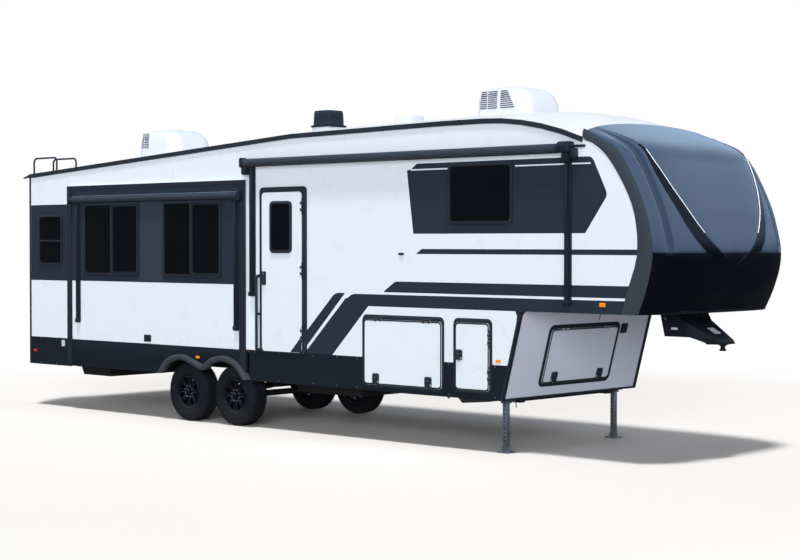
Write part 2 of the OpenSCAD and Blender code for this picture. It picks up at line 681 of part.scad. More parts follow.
// Roof vents: a curb cut to the roof, a lid that laps over it, and its tapered top
VENTS = [
    // rear end, length, half width, taper, height of the lid's edge and of its top
    [deck_x - 1775, 300, 150, 14, 3757, 3964], [deck_x - 370, 290, 145, 12, 3702, 3835]
];
lid_lap = 9;
module roof_vents() color("dimgray") place() for (v = VENTS) difference() {
    x1 = v[0] + v[1];
    union() {
        box(v[0] + lid_lap, x1 - lid_lap, lid_lap - v[2], v[2] - lid_lap, v[4] - 160, v[4]);
        box(v[0], x1, -v[2], v[2], v[4] - 1, v[4] + 12);
        hull() {
            box(v[0] + lid_lap, x1 - lid_lap, lid_lap - v[2], v[2] - lid_lap, v[4] + 10, v[5] - 40);
            box(v[0] + v[3] + lid_lap, x1 - v[3] - lid_lap, v[3] + lid_lap - v[2], v[2] - v[3] - lid_lap, v[5] - 20, v[5] - 12);
            box(v[0] + 60, x1 - 60, 60 - v[2], v[2] - 60, v[5] - 5, v[5]);
        }
    }
    under_roof(2900);
}

// Ladder on the rear wall, its two rails bent over the roof's edge
ladder_r = 13;
rung_r = 10;
ladder_out = 120;
ladder_top = 230;
ladder_foot_x = 420;
LADDER_Y = [160 - wy, 490 - wy];
module tube_x(x0, x1, y, z, r) { translate([x0, y, z]) rotate([0, 90, 0]) cylinder(r = r, h = x1 - x0); }
module tube_y(x, y0, y1, z, r) { translate([x, y0, z]) rotate([-90, 0, 0]) cylinder(r = r, h = y1 - y0); }
module tube_z(x, y, z0, z1, r) { translate([x, y, z0]) cylinder(r = r, h = z1 - z0); }
module bend(x, y, z, a, r) {
    translate([x, y, z]) rotate([90, 0, 0]) rotate([0, 0, a]) rotate_extrude(angle = 90)
        translate([r, 0]) circle(ladder_r);
}
module ladder() color("black") place() difference() {
    top = roof_rear_z + ladder_top;
    r = 60;
    union() {
        for (y = LADDER_Y) {
            tube_z(-ladder_out, y, 900, top - r, ladder_r);
            bend(r - ladder_out, y, top - r, 90, r);
            tube_x(r - ladder_out, ladder_foot_x - r, y, top, ladder_r);
            bend(ladder_foot_x - r, y, top - r, 0, r);
            tube_z(ladder_foot_x, y, roof_rear_z - 20, top - r, ladder_r);
            for (z = [960, 1900, 3000]) tube_x(-ladder_out, 0, y, z, rung_r);
        }
        for (z = [1000:300:3250]) tube_y(-ladder_out, LADDER_Y[0], LADDER_Y[1], z, rung_r);
    }
    under_roof(roof_rear_z - 200);
}

// Awning: the rolled fabric with its end caps, and the two arms on the wall
AWNING = [entry_x0 - 374, roof_l - 140, 3310, 43];
ARMS = [entry_x0 - 79, AWNING[1] - 80];
arm_w = 50;
module arm(x, z0, z1, out) {
    box(x - arm_w / 2, x + arm_w / 2, 0, 22, z0, z1);
    box(x - 16, x + 16, 22, out, z0 + 60, z1 - 20);
    box(x - arm_w / 2, x + arm_w / 2, 22, out, z0, z0 + 60);
}
module awning() color("black") place() on_side(-1) {
    out = gutter_d + 12 + AWNING[3];
    translate([AWNING[0], out, AWNING[2]]) rotate([0, 90, 0]) cylinder(r = AWNING[3], h = AWNING[1] - AWNING[0]);
    for (x = ARMS) {
        arm(x, 1630, AWNING[2] - AWNING[3] - 8, 48);
        box(x - 20, x + 20, 22, out, AWNING[2] - AWNING[3] - 30, AWNING[2] - 10);
    }
    box(AWNING[1] - 30, AWNING[1] + 40, 0, out + 20, AWNING[2] - 60, AWNING[2] + 40);
    box(AWNING[1] + 40, AWNING[1] + 200, 20, 50, AWNING[2] - 30, AWNING[2] - 10);
}

// Door frame: a flange on the wall and a jamb through it, with a gap round the leaf
module leaf_outline(d, gap = 0) {
    round_rect(d[0] + d[4] - gap, d[1] - d[5] + gap, d[2] + d[6] - gap, d[3] - d[7] + gap, door_r - d[6] + gap + 10);
}
module frame_ring(d) {
    linear_extrude(height = flange_t) difference() {
        round_rect(d[0], d[1], d[2], d[3], door_r);
        leaf_outline(d, leaf_gap);
    }
    translate([0, 0, -wall_t]) linear_extrude(height = wall_t) difference() {
        door_hole(d);
        leaf_outline(d, leaf_gap);
    }
}

// Hinge: five knuckles in a row along X on one pin's axis, the frame's side towards
// +Y. half says whose knuckles: 0 the frame's, 1 the door's.
hinge_in = 14;
hinge_out = flange_t + knuckle_r + 1;
hinge_l = 200;
knuckle_gap = 0.25;
strap_t = 4;
module hinge(half) {
    p = hinge_l / 5;
    w = p - 2 * knuckle_gap;
    for (i = [0:4]) if (i % 2 == half) translate([i * p + knuckle_gap - hinge_l / 2, 0, 0]) {
        rotate([0, 90, 0]) cylinder(r = knuckle_r, h = w);
        if (half == 0) translate([0, -knuckle_r, flange_t - hinge_out]) cube([w, 2 * knuckle_r, hinge_out - flange_t]);
        else translate([0, -hinge_in - 20, -strap_t]) cube([w, hinge_in + 20, strap_t]);
    }
}
// Hinges of a door: two or three along its upper edge, or along its front edge
module top_hinges(d, half) {
    for (k = [0.2, 0.8]) translate([d[0] + (d[1] - d[0]) * k, d[3] - d[7] + hinge_in, hinge_out]) hinge(half);
}
module front_hinges(d, half, places) {
    for (k = places) translate([d[1] - d[5] + hinge_in, d[2] + (d[3] - d[2]) * k, hinge_out])
        mirror([1, -1, 0]) hinge(half);
}
ENTRY_HINGES = [0.12, 0.5, 0.88];
LOCKER_HINGES = [0.25, 0.75];
module door_space(side) { on_side(side) rotate([90, 0, 0]) mirror([0, 0, 1]) children(); }

module door_frames() color("black") place() {
    door_space(-1) {
        for (d = [ENTRY, STORAGE, LOCKER]) frame_ring(d);
        front_hinges(ENTRY, 0, ENTRY_HINGES);
        front_hinges(LOCKER, 0, LOCKER_HINGES);
        top_hinges(STORAGE, 0);
    }
    door_space(1) {
        frame_ring(STORAGE);
        top_hinges(STORAGE, 0);
    }
    on_front_wall() {
        frame_ring(FRONT_DOOR);
        top_hinges(FRONT_DOOR, 0);
    }
}

// Grab handle behind the entry: a bent tube on two feet, with a stay in the middle
HANDLE_Z = [975, 1880];
handle_bend = 40;
handle_foot_r = 18;
handle_foot_t = 8;
handle_back = 34;
STAY_Z = [1400, 1430];
module handle_bend_at(z, a) {
    translate([0, handle_out - handle_bend, z]) rotate([90, 0, 90]) rotate([0, 0, a])
        rotate_extrude(angle = 90) translate([handle_bend, 0]) circle(handle_r);
}
module grab_handle() color("black") place() on_side(-1) translate([entry_x0 - handle_back, 0, 0]) {
    for (z = HANDLE_Z) {
        tube_y(0, 0, handle_foot_t, z, handle_foot_r);
        tube_y(0, handle_foot_t, handle_out - handle_bend, z, handle_r);
    }
    handle_bend_at(HANDLE_Z[0] + handle_bend, -90);
    handle_bend_at(HANDLE_Z[1] - handle_bend, 0);
    tube_z(0, handle_out, HANDLE_Z[0] + handle_bend, HANDLE_Z[1] - handle_bend, handle_r);
    box(3 - handle_r, handle_r - 3, 0, handle_out, STAY_Z[0], STAY_Z[1]);
}

leaf_out = hinge_out - strap_t;
module leaf(d) { translate([0, 0, leaf_out - leaf_t]) linear_extrude(height = leaf_t) leaf_outline(d); }
module latch(x, z) { translate([x - 45, z - 30, leaf_out]) cube([90, 60, 12]); }

ENTRY_GLASS = [5022, 5404, 2162, 2788, 0];
module entry_door() color("whitesmoke") place() door_space(-1) {
    difference() {
        leaf(ENTRY);
        translate([0, 0, -100]) linear_extrude(height = 200) window_hole(ENTRY_GLASS);
    }
    translate([ENTRY[0] + ENTRY[4] + 15, 1780, leaf_out]) cube([60, 150, 14]);
    front_hinges(ENTRY, 1, ENTRY_HINGES);
}
module entry_pane() color("dimgray") place() on_side(-1) window_unit(ENTRY_GLASS, leaf_t, leaf_out);

module storage_door(d) {
    leaf(d);
    for (x = [d[0] + 220, d[1] - 220]) latch(x, d[2] + d[6] + 60);
    top_hinges(d, 1);
}
module storage_door_right() color("whitesmoke") place() door_space(-1) storage_door(STORAGE);
module storage_door_left() color("whitesmoke") place() door_space(1) storage_door(STORAGE);
module locker_door_right() color("whitesmoke") place() door_space(-1) {
    leaf(LOCKER);
    latch(LOCKER[0] + LOCKER[4] + 60, (LOCKER[2] + LOCKER[3]) / 2);
    front_hinges(LOCKER, 1, LOCKER_HINGES);
}
module storage_door_front() color("gainsboro") place() on_front_wall() storage_door(FRONT_DOOR);

// Window unit: the frame laps on the wall's face and lines its hole, with its bars.
// out is how far the wall's face stands off the side wall's.
module window_bars(w) {
    f = window_frame;
    difference() {
        round_rect(w[0], w[1], w[2], w[3], 60);
        round_rect(w[0] + f, w[1] - f, w[2] + f, w[3] - f, 60 - f / 2);
    }
    if (w[4] > 0) rect(w[4] - f / 2, w[4] + f / 2, w[2] + f / 2, w[3] - f / 2);
}
module window_frame_part(w, t, out) {
    sheet_xz(window_proud, out + window_proud) window_bars(w);
    sheet_xz(t, out) difference() {
        window_hole(w);
        round_rect(w[0] + window_frame, w[1] - window_frame, w[2] + window_frame, w[3] - window_frame, 60 - window_frame / 2);
    }
}
module window_pane_part(w, out) {
    g = window_frame;
    sheet_xz(glass_t, out) round_rect(w[0] + g, w[1] - g, w[2] + g, w[3] - g, 60 - g / 2);
}
module window_unit(w, t, out) {
    window_frame_part(w, t, out);
    window_pane_part(w, out);
}

REAR_GLASS = [-rear_window_y - jamb_in, rear_window_y + jamb_in, REAR_WINDOW[2], REAR_WINDOW[3], 0];
module on_rear() { rotate([0, 0, 90]) children(); }

module window_frames() color("black") place() {
    on_side(-1) for (w = [REAR_WINDOW, BED_WINDOW]) window_frame_part(w, wall_t, 0);
    on_side(1) window_frame_part(REAR_WINDOW, wall_t, 0);
    on_rear() window_frame_part(REAR_GLASS, wall_t, 0);
}
module window_panes() color("dimgray") place() {
    on_side(-1) for (w = [REAR_WINDOW, BED_WINDOW]) window_pane_part(w, 0);
    on_side(1) window_pane_part(REAR_WINDOW, 0);
    on_rear() window_pane_part(REAR_GLASS, 0);
}

// Lamps: columns are the place along, the height, the length and the height of the lens
SIDE_LAMPS = [[130, 774, 60, 30], [front_x - 42, 1010, 60, 30], [cap_foot_x - 230, 1650, 70, 40]];
module marker_lamps() color("orange") place() {
    for (s = [-1, 1]) on_side(s) for (l = SIDE_LAMPS)
        box(l[0] - l[2] / 2, l[0] + l[2] / 2, 0, 14, l[1] - l[3] / 2, l[1] + l[3] / 2);
    twin_box(-18, 0, wy - 320, wy - 160, 1000, 1300);
}

// Slide-out room: the face with its flange, and the box behind it, open inward
slide_out = seal_gap + slide_t;
module slide_room(x0, x1, z0, z1, floor_level, depth, windows) {
    difference() {
        union() {
            sheet_xz(slide_t, slide_out) difference() {
                rect(x0, x1, z0, z1);
                for (w = windows) window_hole(w);
            }
            a0 = x0 + slide_lap + slide_gap;
            a1 = x1 - slide_lap - slide_gap;
            b0 = floor_level + slide_gap;
            b1 = z1 - slide_lap - slide_gap;
            difference() {
                box(a0, a1, -depth, seal_gap, b0, b1);
                box(a0 + slide_t, a1 - slide_t, -depth - 1, seal_gap + 1, b0 + slide_t, b1 - slide_t);
            }
            for (x = [a0 + 200, (a0 + a1) / 2, a1 - 200])
                box(x - 30, x + 30, -depth, -wall_t - 20, floor_level + eps, b0);
        }
    }
}

module slide_right_room() color("whitesmoke") place() on_side(-1)
    slide_room(slide_x0, slide_x1, wall_z, slide_top_z, floor_z, slide_depth, SLIDE_WINDOWS);
module slide_left_room() color("whitesmoke") place() on_side(1)
    slide_room(slide_x0, slide_x1, wall_z, slide_top_z, floor_z, slide_depth, KITCHEN_WINDOWS);
BED_SLIDE_WINDOW = [BED_SLIDE[0] + 450, BED_SLIDE[1] - 450, 2485, 3152, 0];
module bed_slide_room() color("whitesmoke") place() on_side(1)
    slide_room(BED_SLIDE[0], BED_SLIDE[1], BED_SLIDE[2] - slide_lap, BED_SLIDE[3], BED_SLIDE[2], bed_depth, [BED_SLIDE_WINDOW]);
module bed_slide_window() color("black") place() on_side(1) window_unit(BED_SLIDE_WINDOW, slide_t, slide_out);

// Skirt that hangs from the slide's face, with the double wheel arch and its flare
ARCH = [[-905, 586], [-722, 790], [-452, 858], [-240, 811], [-18, 748], [150, 836], [374, 873], [590, 817], [740, 702], [822, 586]];
arch_div = 4;
flare_w = 65;
flare_out = 60;
module arch_line(inset) {
    line = [for (i = [0:(len(ARCH) - 1) * arch_div]) curve_at(ARCH, i / arch_div)];
    intersection() {
        offset(delta = -inset) polygon(concat(
            [for (p = line) [axle_mid_x + p.x, p.y]],
            [[axle_mid_x + ARCH[len(ARCH) - 1].x, 200], [axle_mid_x + ARCH[0].x, 200]]));
        rect(0, roof_l, skirt_z, wall_z);
    }
}
module slide_skirt() {
    sheet_xz(skirt_t, slide_out) difference() {
        rect(slide_x0, slide_x1, slide_skirt_z, wall_z);
        arch_line(flare_w);
    }
    sheet_xz(flare_out, slide_out + flare_out) intersection() {
        difference() {
            arch_line(0);
            arch_line(flare_w);
        }
        rect(0, slide_x1, slide_skirt_z, wall_z);
    }
}
module slide_right_skirt() color("darkslategray") place() on_side(-1) slide_skirt();
module slide_left_skirt() color("darkslategray") place() on_side(1) slide_skirt();

// Mouldings round the face's ends and top, down over its skirt, and the vent's grille
moulding_t = 10;
rear_moulding_w = 104;
fore_moulding_w = 120;
slide_skirt_z = skirt_z + 14;
GRILLE = [slide_mid - 160, slide_mid - 20, 995, 1085];
grille_t = 8;
grille_rim = 11;
grille_pitch = 12;
module slide_mouldings() {
    sheet_xz(moulding_t, slide_out + moulding_t) difference() {
        rect(slide_x0, slide_x1, slide_skirt_z, slide_top_z);
        rect(slide_x0 + rear_moulding_w, slide_x1 - fore_moulding_w, 0, slide_top_z - slide_lap);
        arch_line(-1);
    }
}
module vent_grille() {
    sheet_xz(grille_t, slide_out + grille_t) difference() {
        round_rect(GRILLE[0], GRILLE[1], GRILLE[2], GRILLE[3], 8);
        for (z = [GRILLE[2] + grille_rim:grille_pitch:GRILLE[3] - grille_rim])
            rect(GRILLE[0] + grille_rim, GRILLE[1] - grille_rim, z, z + grille_pitch * 0.6);
    }
}

module slide_right_frames() color("black") place() on_side(-1) {
    for (w = SLIDE_WINDOWS) window_frame_part(w, slide_t, slide_out);
    slide_mouldings();
    vent_grille();
}
module slide_right_panes() color("dimgray") place() on_side(-1) for (w = SLIDE_WINDOWS) window_pane_part(w, slide_out);
module slide_left_frames() color("black") place() on_side(1) {
    for (w = KITCHEN_WINDOWS) window_frame_part(w, slide_t, slide_out);
    slide_mouldings();
}
module slide_left_panes() color("dimgray") place() on_side(1) for (w = KITCHEN_WINDOWS) window_pane_part(w, slide_out);

SLIDE_AWNING = [slide_x0 + 17, slide_x1 - 158, 2895, 32];
module slide_right_awning() color("black") place() on_side(-1) translate([0, slide_out, 0]) {
    translate([SLIDE_AWNING[0], 48, SLIDE_AWNING[2]]) rotate([0, 90, 0]) cylinder(r = SLIDE_AWNING[3], h = SLIDE_AWNING[1] - SLIDE_AWNING[0]);
    for (x = [SLIDE_AWNING[0] + 149, SLIDE_AWNING[1] - 99]) {
        arm(x, 1200, SLIDE_AWNING[2] - SLIDE_AWNING[3] - 6, 44);
        box(x - 18, x + 18, 0, 48, SLIDE_AWNING[2] - SLIDE_AWNING[3] - 20, SLIDE_AWNING[2] - 6);
    }
}

// Tyre and rim, drawn round the Y axis at the origin, outer face towards -Y
module tyre() {
    h = tyre_w / 2;
    rotate([90, 0, 0]) rotate_extrude($fn = 96) polygon([
        [rim_r, -h + 12], [rim_r + 40, -h], [tyre_r - 55, -h], [tyre_r - 22, -h + 14], [tyre_r, -h + 42],
        [tyre_r, -18], [tyre_r - 9, -18], [tyre_r - 9, -10], [tyre_r, -10],
        [tyre_r, 10], [tyre_r - 9, 10], [tyre_r - 9, 18], [tyre_r, 18],
        [tyre_r, h - 42], [tyre_r - 22, h - 14], [tyre_r - 55, h], [rim_r + 40, h], [rim_r, h - 12]
    ]);
}
// Rim: a stepped barrel, a dished disc with a window between each two spokes and a slot
// up each spoke, pockets for the wheel nuts, and the centre cap
RIM_BARREL = [
    // distance in from the rim's edge, distance along from the tyre's middle
    [0, 12 - tyre_w / 2], [0, tyre_w / 2 - 12], [6, tyre_w / 2 - 12], [14, tyre_w / 2 - 16], [16, tyre_w / 2 - 27],
    [20, 0], [24, 40 - tyre_w / 2], [16, 12 - tyre_w / 2]
];
RIM_DISC = [
    // radius, height above the disc's inner face
    [0, 0], [110, 0], [rim_r - 10, 8], [rim_r - 10, disc_t - 1], [rim_r - 28, disc_t], [160, 27], [125, 21], [90, 15],
    [0, 13]
];
RIM_CAP = [[0, 0], [46, 0], [46, 36], [43, 42], [36, 47], [0, 48]];
nut_ring_r = 70;
nut_pocket_r = 13;
module rim() rotate([90, 0, 0]) {
    rotate_extrude($fn = 96) polygon([for (p = RIM_BARREL) [rim_r - p.x, p.y]]);
    translate([0, 0, disc_in]) {
        difference() {
            rotate_extrude($fn = 96) polygon(RIM_DISC);
            linear_extrude(height = 100, center = true) for (k = [0:spokes - 1]) {
                rotate((k + 0.5) * 360 / spokes)
                    polygon([[93, 0], [97, -12], [128, -25], [171, -39], [rim_r - 29, 0], [171, 39], [128, 25], [97, 12]]);
                rotate(k * 360 / spokes) polygon([[118, -3], [177, -10], [177, 10], [118, 3]]);
            }
            for (k = [0:spokes - 1]) rotate((k + 0.5) * 360 / spokes) translate([nut_ring_r, 0, 5])
                cylinder(r = nut_pocket_r, h = disc_t, $fn = 24);
        }
        rotate_extrude($fn = 48) polygon(RIM_CAP);
    }
}
module wheel_place(w) {
    place() translate([axle_x(w[1]), w[2] * track_half, tyre_r]) mirror([0, w[2] > 0 ? 1 : 0, 0]) children();
}
module tyre_at(i) { color("dimgray") wheel_place(WHEELS[i]) tyre(); }
module rim_at(i) { color("black") wheel_place(WHEELS[i]) rim(); }

side_wall_right();
side_wall_left();
rear_wall();
front_wall();
roof();
gutters();
nose_cap();
cap_trim();
living_floor();
upper_deck();
storage_floor();
skirt_right();
skirt_left();
chassis_frame();
pin_box();
landing_legs();
axles();
leaf_springs();
holding_tanks();
rear_bumper();
stabilisers();
air_conditioners();
roof_vents();
ladder();
awning();
door_frames();
window_frames();
window_panes();
marker_lamps();
slide_right_room();
slide_right_skirt();
slide_right_frames();
slide_right_panes();
slide_right_awning();
slide_left_room();
slide_left_skirt();
slide_left_frames();
slide_left_panes();
bed_slide_room();
bed_slide_window();
entry_door();
entry_pane();
storage_door_right();
locker_door_right();
storage_door_left();
storage_door_front();
corner_mouldings();
grab_handle();
nose_lamps();
tyre_at(0);  // tyre_right_rear
tyre_at(1);  // tyre_right_front
tyre_at(2);  // tyre_left_rear
tyre_at(3);  // tyre_left_front
rim_at(0);  // rim_right_rear
rim_at(1);  // rim_right_front
rim_at(2);  // rim_left_rear
rim_at(3);  // rim_left_front
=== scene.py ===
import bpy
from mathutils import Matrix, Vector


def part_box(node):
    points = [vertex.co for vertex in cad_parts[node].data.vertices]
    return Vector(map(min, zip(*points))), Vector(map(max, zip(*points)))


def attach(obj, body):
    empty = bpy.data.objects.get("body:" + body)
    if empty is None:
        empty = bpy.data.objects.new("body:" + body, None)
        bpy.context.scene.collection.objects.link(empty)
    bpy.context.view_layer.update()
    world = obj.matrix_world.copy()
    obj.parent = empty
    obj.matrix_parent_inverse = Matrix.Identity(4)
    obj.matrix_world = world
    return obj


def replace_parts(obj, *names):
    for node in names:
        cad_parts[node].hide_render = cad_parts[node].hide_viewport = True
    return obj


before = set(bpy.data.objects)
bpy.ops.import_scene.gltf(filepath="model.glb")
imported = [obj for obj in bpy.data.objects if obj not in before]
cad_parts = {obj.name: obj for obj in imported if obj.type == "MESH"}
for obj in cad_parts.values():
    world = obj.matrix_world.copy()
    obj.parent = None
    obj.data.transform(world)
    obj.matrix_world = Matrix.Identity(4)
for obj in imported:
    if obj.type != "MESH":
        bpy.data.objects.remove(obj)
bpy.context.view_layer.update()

import math

import bmesh
import bpy
from mathutils import Matrix, Vector

# Camera in front of the trailer's right front corner, at about the height of a
# standing person's raised hands, with the horizon a little over the chassis.
camera = bpy.data.objects.new("camera", bpy.data.cameras.new("camera"))
scene = bpy.context.scene
scene.collection.objects.link(camera)
scene.camera = camera
camera_turn = math.radians(43.14)
camera_dip = math.radians(1.22)
camera.location = (15.204, -15.535, 2.282)
camera.rotation_euler = (math.pi / 2 - camera_dip, 0, camera_turn)
camera.data.sensor_width = 36.0
camera.data.lens = 78.05
camera.data.clip_end = 300.0

# Studio light: a broad lamp overhead, a low fill before the right side, a weaker one
# before the left, and an even sky. Its reflection is dark at the horizon and pale blue above, as in the open.
# The camera sees plain white behind the trailer.
scene.view_settings.view_transform = "Standard"
sun = bpy.data.objects.new("sun", bpy.data.lights.new("sun", "SUN"))
scene.collection.objects.link(sun)
sun.rotation_euler = Vector((-0.14, 0.26, -1.0)).to_track_quat("-Z", "Y").to_euler()
sun.data.angle = math.radians(8)
sun.data.energy = 2.25
sun.visible_glossy = False
fill = bpy.data.objects.new("fill", bpy.data.lights.new("fill", "SUN"))
scene.collection.objects.link(fill)
fill.rotation_euler = Vector((-0.60, 0.79, -0.13)).to_track_quat("-Z", "Y").to_euler()
fill.data.angle = math.radians(35)
fill.data.energy = 2.60
fill.data.color = (0.95, 0.975, 1.0)
fill.visible_glossy = False
far_fill = bpy.data.objects.new("far_fill", bpy.data.lights.new("far_fill", "SUN"))
scene.collection.objects.link(far_fill)
far_fill.rotation_euler = Vector((0.60, -0.79, -0.02)).to_track_quat("-Z", "Y").to_euler()
far_fill.data.angle = math.radians(12)
far_fill.data.energy = 1.3
far_fill.visible_glossy = False

world = bpy.data.worlds.new("sky")
scene.world = world
world.use_nodes = True
sky = world.node_tree
sky.nodes.clear()
sky_out = sky.nodes.new("ShaderNodeOutputWorld")
lit = sky.nodes.new("ShaderNodeBackground")
lit.inputs["Color"].default_value = (0.86, 0.92, 1.0, 1)
lit.inputs["Strength"].default_value = 0.18
seen = sky.nodes.new("ShaderNodeBackground")
seen.inputs["Color"].default_value = (1, 1, 1, 1)
mirrored = sky.nodes.new("ShaderNodeBackground")
ray_way = sky.nodes.new("ShaderNodeTexCoord")
ray_height = sky.nodes.new("ShaderNodeSeparateXYZ")
sky.links.new(ray_way.outputs["Generated"], ray_height.inputs[0])
sky_grade = sky.nodes.new("ShaderNodeValToRGB")
for stop, (place, shade) in enumerate([(0.0, (0.045, 0.055, 0.075)), (0.08, (0.10, 0.14, 0.20)),
                                       (0.24, (0.42, 0.60, 0.90)), (0.50, (0.55, 0.76, 1.0)),
                                       (1.0, (0.32, 0.50, 0.82))]):
    if stop > 1:
        sky_grade.color_ramp.elements.new(place)
    sky_grade.color_ramp.elements[stop].position = place
    sky_grade.color_ramp.elements[stop].color = (*shade, 1)
sky.links.new(ray_height.outputs["Z"], sky_grade.inputs[0])
sky.links.new(sky_grade.outputs[0], mirrored.inputs["Color"])
rays = sky.nodes.new("ShaderNodeLightPath")
direct = sky.nodes.new("ShaderNodeMath")
direct.operation = "MAXIMUM"
gloss_mix = sky.nodes.new("ShaderNodeMixShader")
sky_mix = sky.nodes.new("ShaderNodeMixShader")
sky.links.new(rays.outputs["Is Camera Ray"], direct.inputs[0])
sky.links.new(rays.outputs["Is Transmission Ray"], direct.inputs[1])
sky.links.new(rays.outputs["Is Glossy Ray"], gloss_mix.inputs[0])
sky.links.new(lit.outputs[0], gloss_mix.inputs[1])
sky.links.new(mirrored.outputs[0], gloss_mix.inputs[2])
sky.links.new(direct.outputs[0], sky_mix.inputs[0])
sky.links.new(gloss_mix.outputs[0], sky_mix.inputs[1])
sky.links.new(seen.outputs[0], sky_mix.inputs[2])
sky.links.new(sky_mix.outputs[0], sky_out.inputs[0])

# Floor: a pale round sheet that keeps the trailer's shadow. Seen straight it is as
# bright as the backdrop, and it fades into it further out. To all else it is darker.
floor_r = 60.0
floor_mesh = bpy.data.meshes.new("floor")
floor_bm = bmesh.new()
bmesh.ops.create_circle(floor_bm, cap_ends=True, radius=floor_r, segments=96)
floor_bm.to_mesh(floor_mesh)
floor_bm.free()
floor = bpy.data.objects.new("floor", floor_mesh)
scene.collection.objects.link(floor)
floor_look = bpy.data.materials.new("pale_floor")
floor_look.use_nodes = True
tree = floor_look.node_tree
tree.nodes.clear()
floor_out = tree.nodes.new("ShaderNodeOutputMaterial")
floor_seen = tree.nodes.new("ShaderNodeBsdfDiffuse")
floor_seen.inputs["Color"].default_value = (1.0, 0.965, 0.93, 1)
floor_bounce = tree.nodes.new("ShaderNodeBsdfDiffuse")
floor_bounce.inputs["Color"].default_value = (0.42, 0.41, 0.41, 1)
floor_mirrored = tree.nodes.new("ShaderNodeBsdfDiffuse")
floor_mirrored.inputs["Color"].default_value = (0.045, 0.048, 0.055, 1)
floor_rays = tree.nodes.new("ShaderNodeLightPath")
floor_dull = tree.nodes.new("ShaderNodeMixShader")
floor_matt = tree.nodes.new("ShaderNodeMixShader")
floor_glow = tree.nodes.new("ShaderNodeEmission")
floor_glow.inputs["Color"].default_value = (1, 1, 1, 1)
floor_place = tree.nodes.new("ShaderNodeTexCoord")
floor_far = tree.nodes.new("ShaderNodeVectorMath")
floor_far.operation = "LENGTH"
floor_fade = tree.nodes.new("ShaderNodeMapRange")
floor_fade.inputs["From Min"].default_value = 7.5
floor_fade.inputs["From Max"].default_value = 12.0
floor_fade.interpolation_type = "SMOOTHSTEP"
floor_mix = tree.nodes.new("ShaderNodeMixShader")
floor_end = tree.nodes.new("ShaderNodeMath")
floor_end.operation = "MULTIPLY"
tree.links.new(floor_rays.outputs["Is Camera Ray"], floor_matt.inputs[0])
tree.links.new(floor_rays.outputs["Is Glossy Ray"], floor_dull.inputs[0])
tree.links.new(floor_bounce.outputs[0], floor_dull.inputs[1])
tree.links.new(floor_mirrored.outputs[0], floor_dull.inputs[2])
tree.links.new(floor_dull.outputs[0], floor_matt.inputs[1])
tree.links.new(floor_seen.outputs[0], floor_matt.inputs[2])
tree.links.new(floor_place.outputs["Object"], floor_far.inputs[0])
tree.links.new(floor_far.outputs["Value"], floor_fade.inputs["Value"])
tree.links.new(floor_fade.outputs[0], floor_end.inputs[0])
tree.links.new(floor_rays.outputs["Is Camera Ray"], floor_end.inputs[1])
tree.links.new(floor_end.outputs[0], floor_mix.inputs[0])
tree.links.new(floor_matt.outputs[0], floor_mix.inputs[1])
tree.links.new(floor_glow.outputs[0], floor_mix.inputs[2])
tree.links.new(floor_mix.outputs[0], floor_out.inputs[0])
floor.data.materials.append(floor_look)

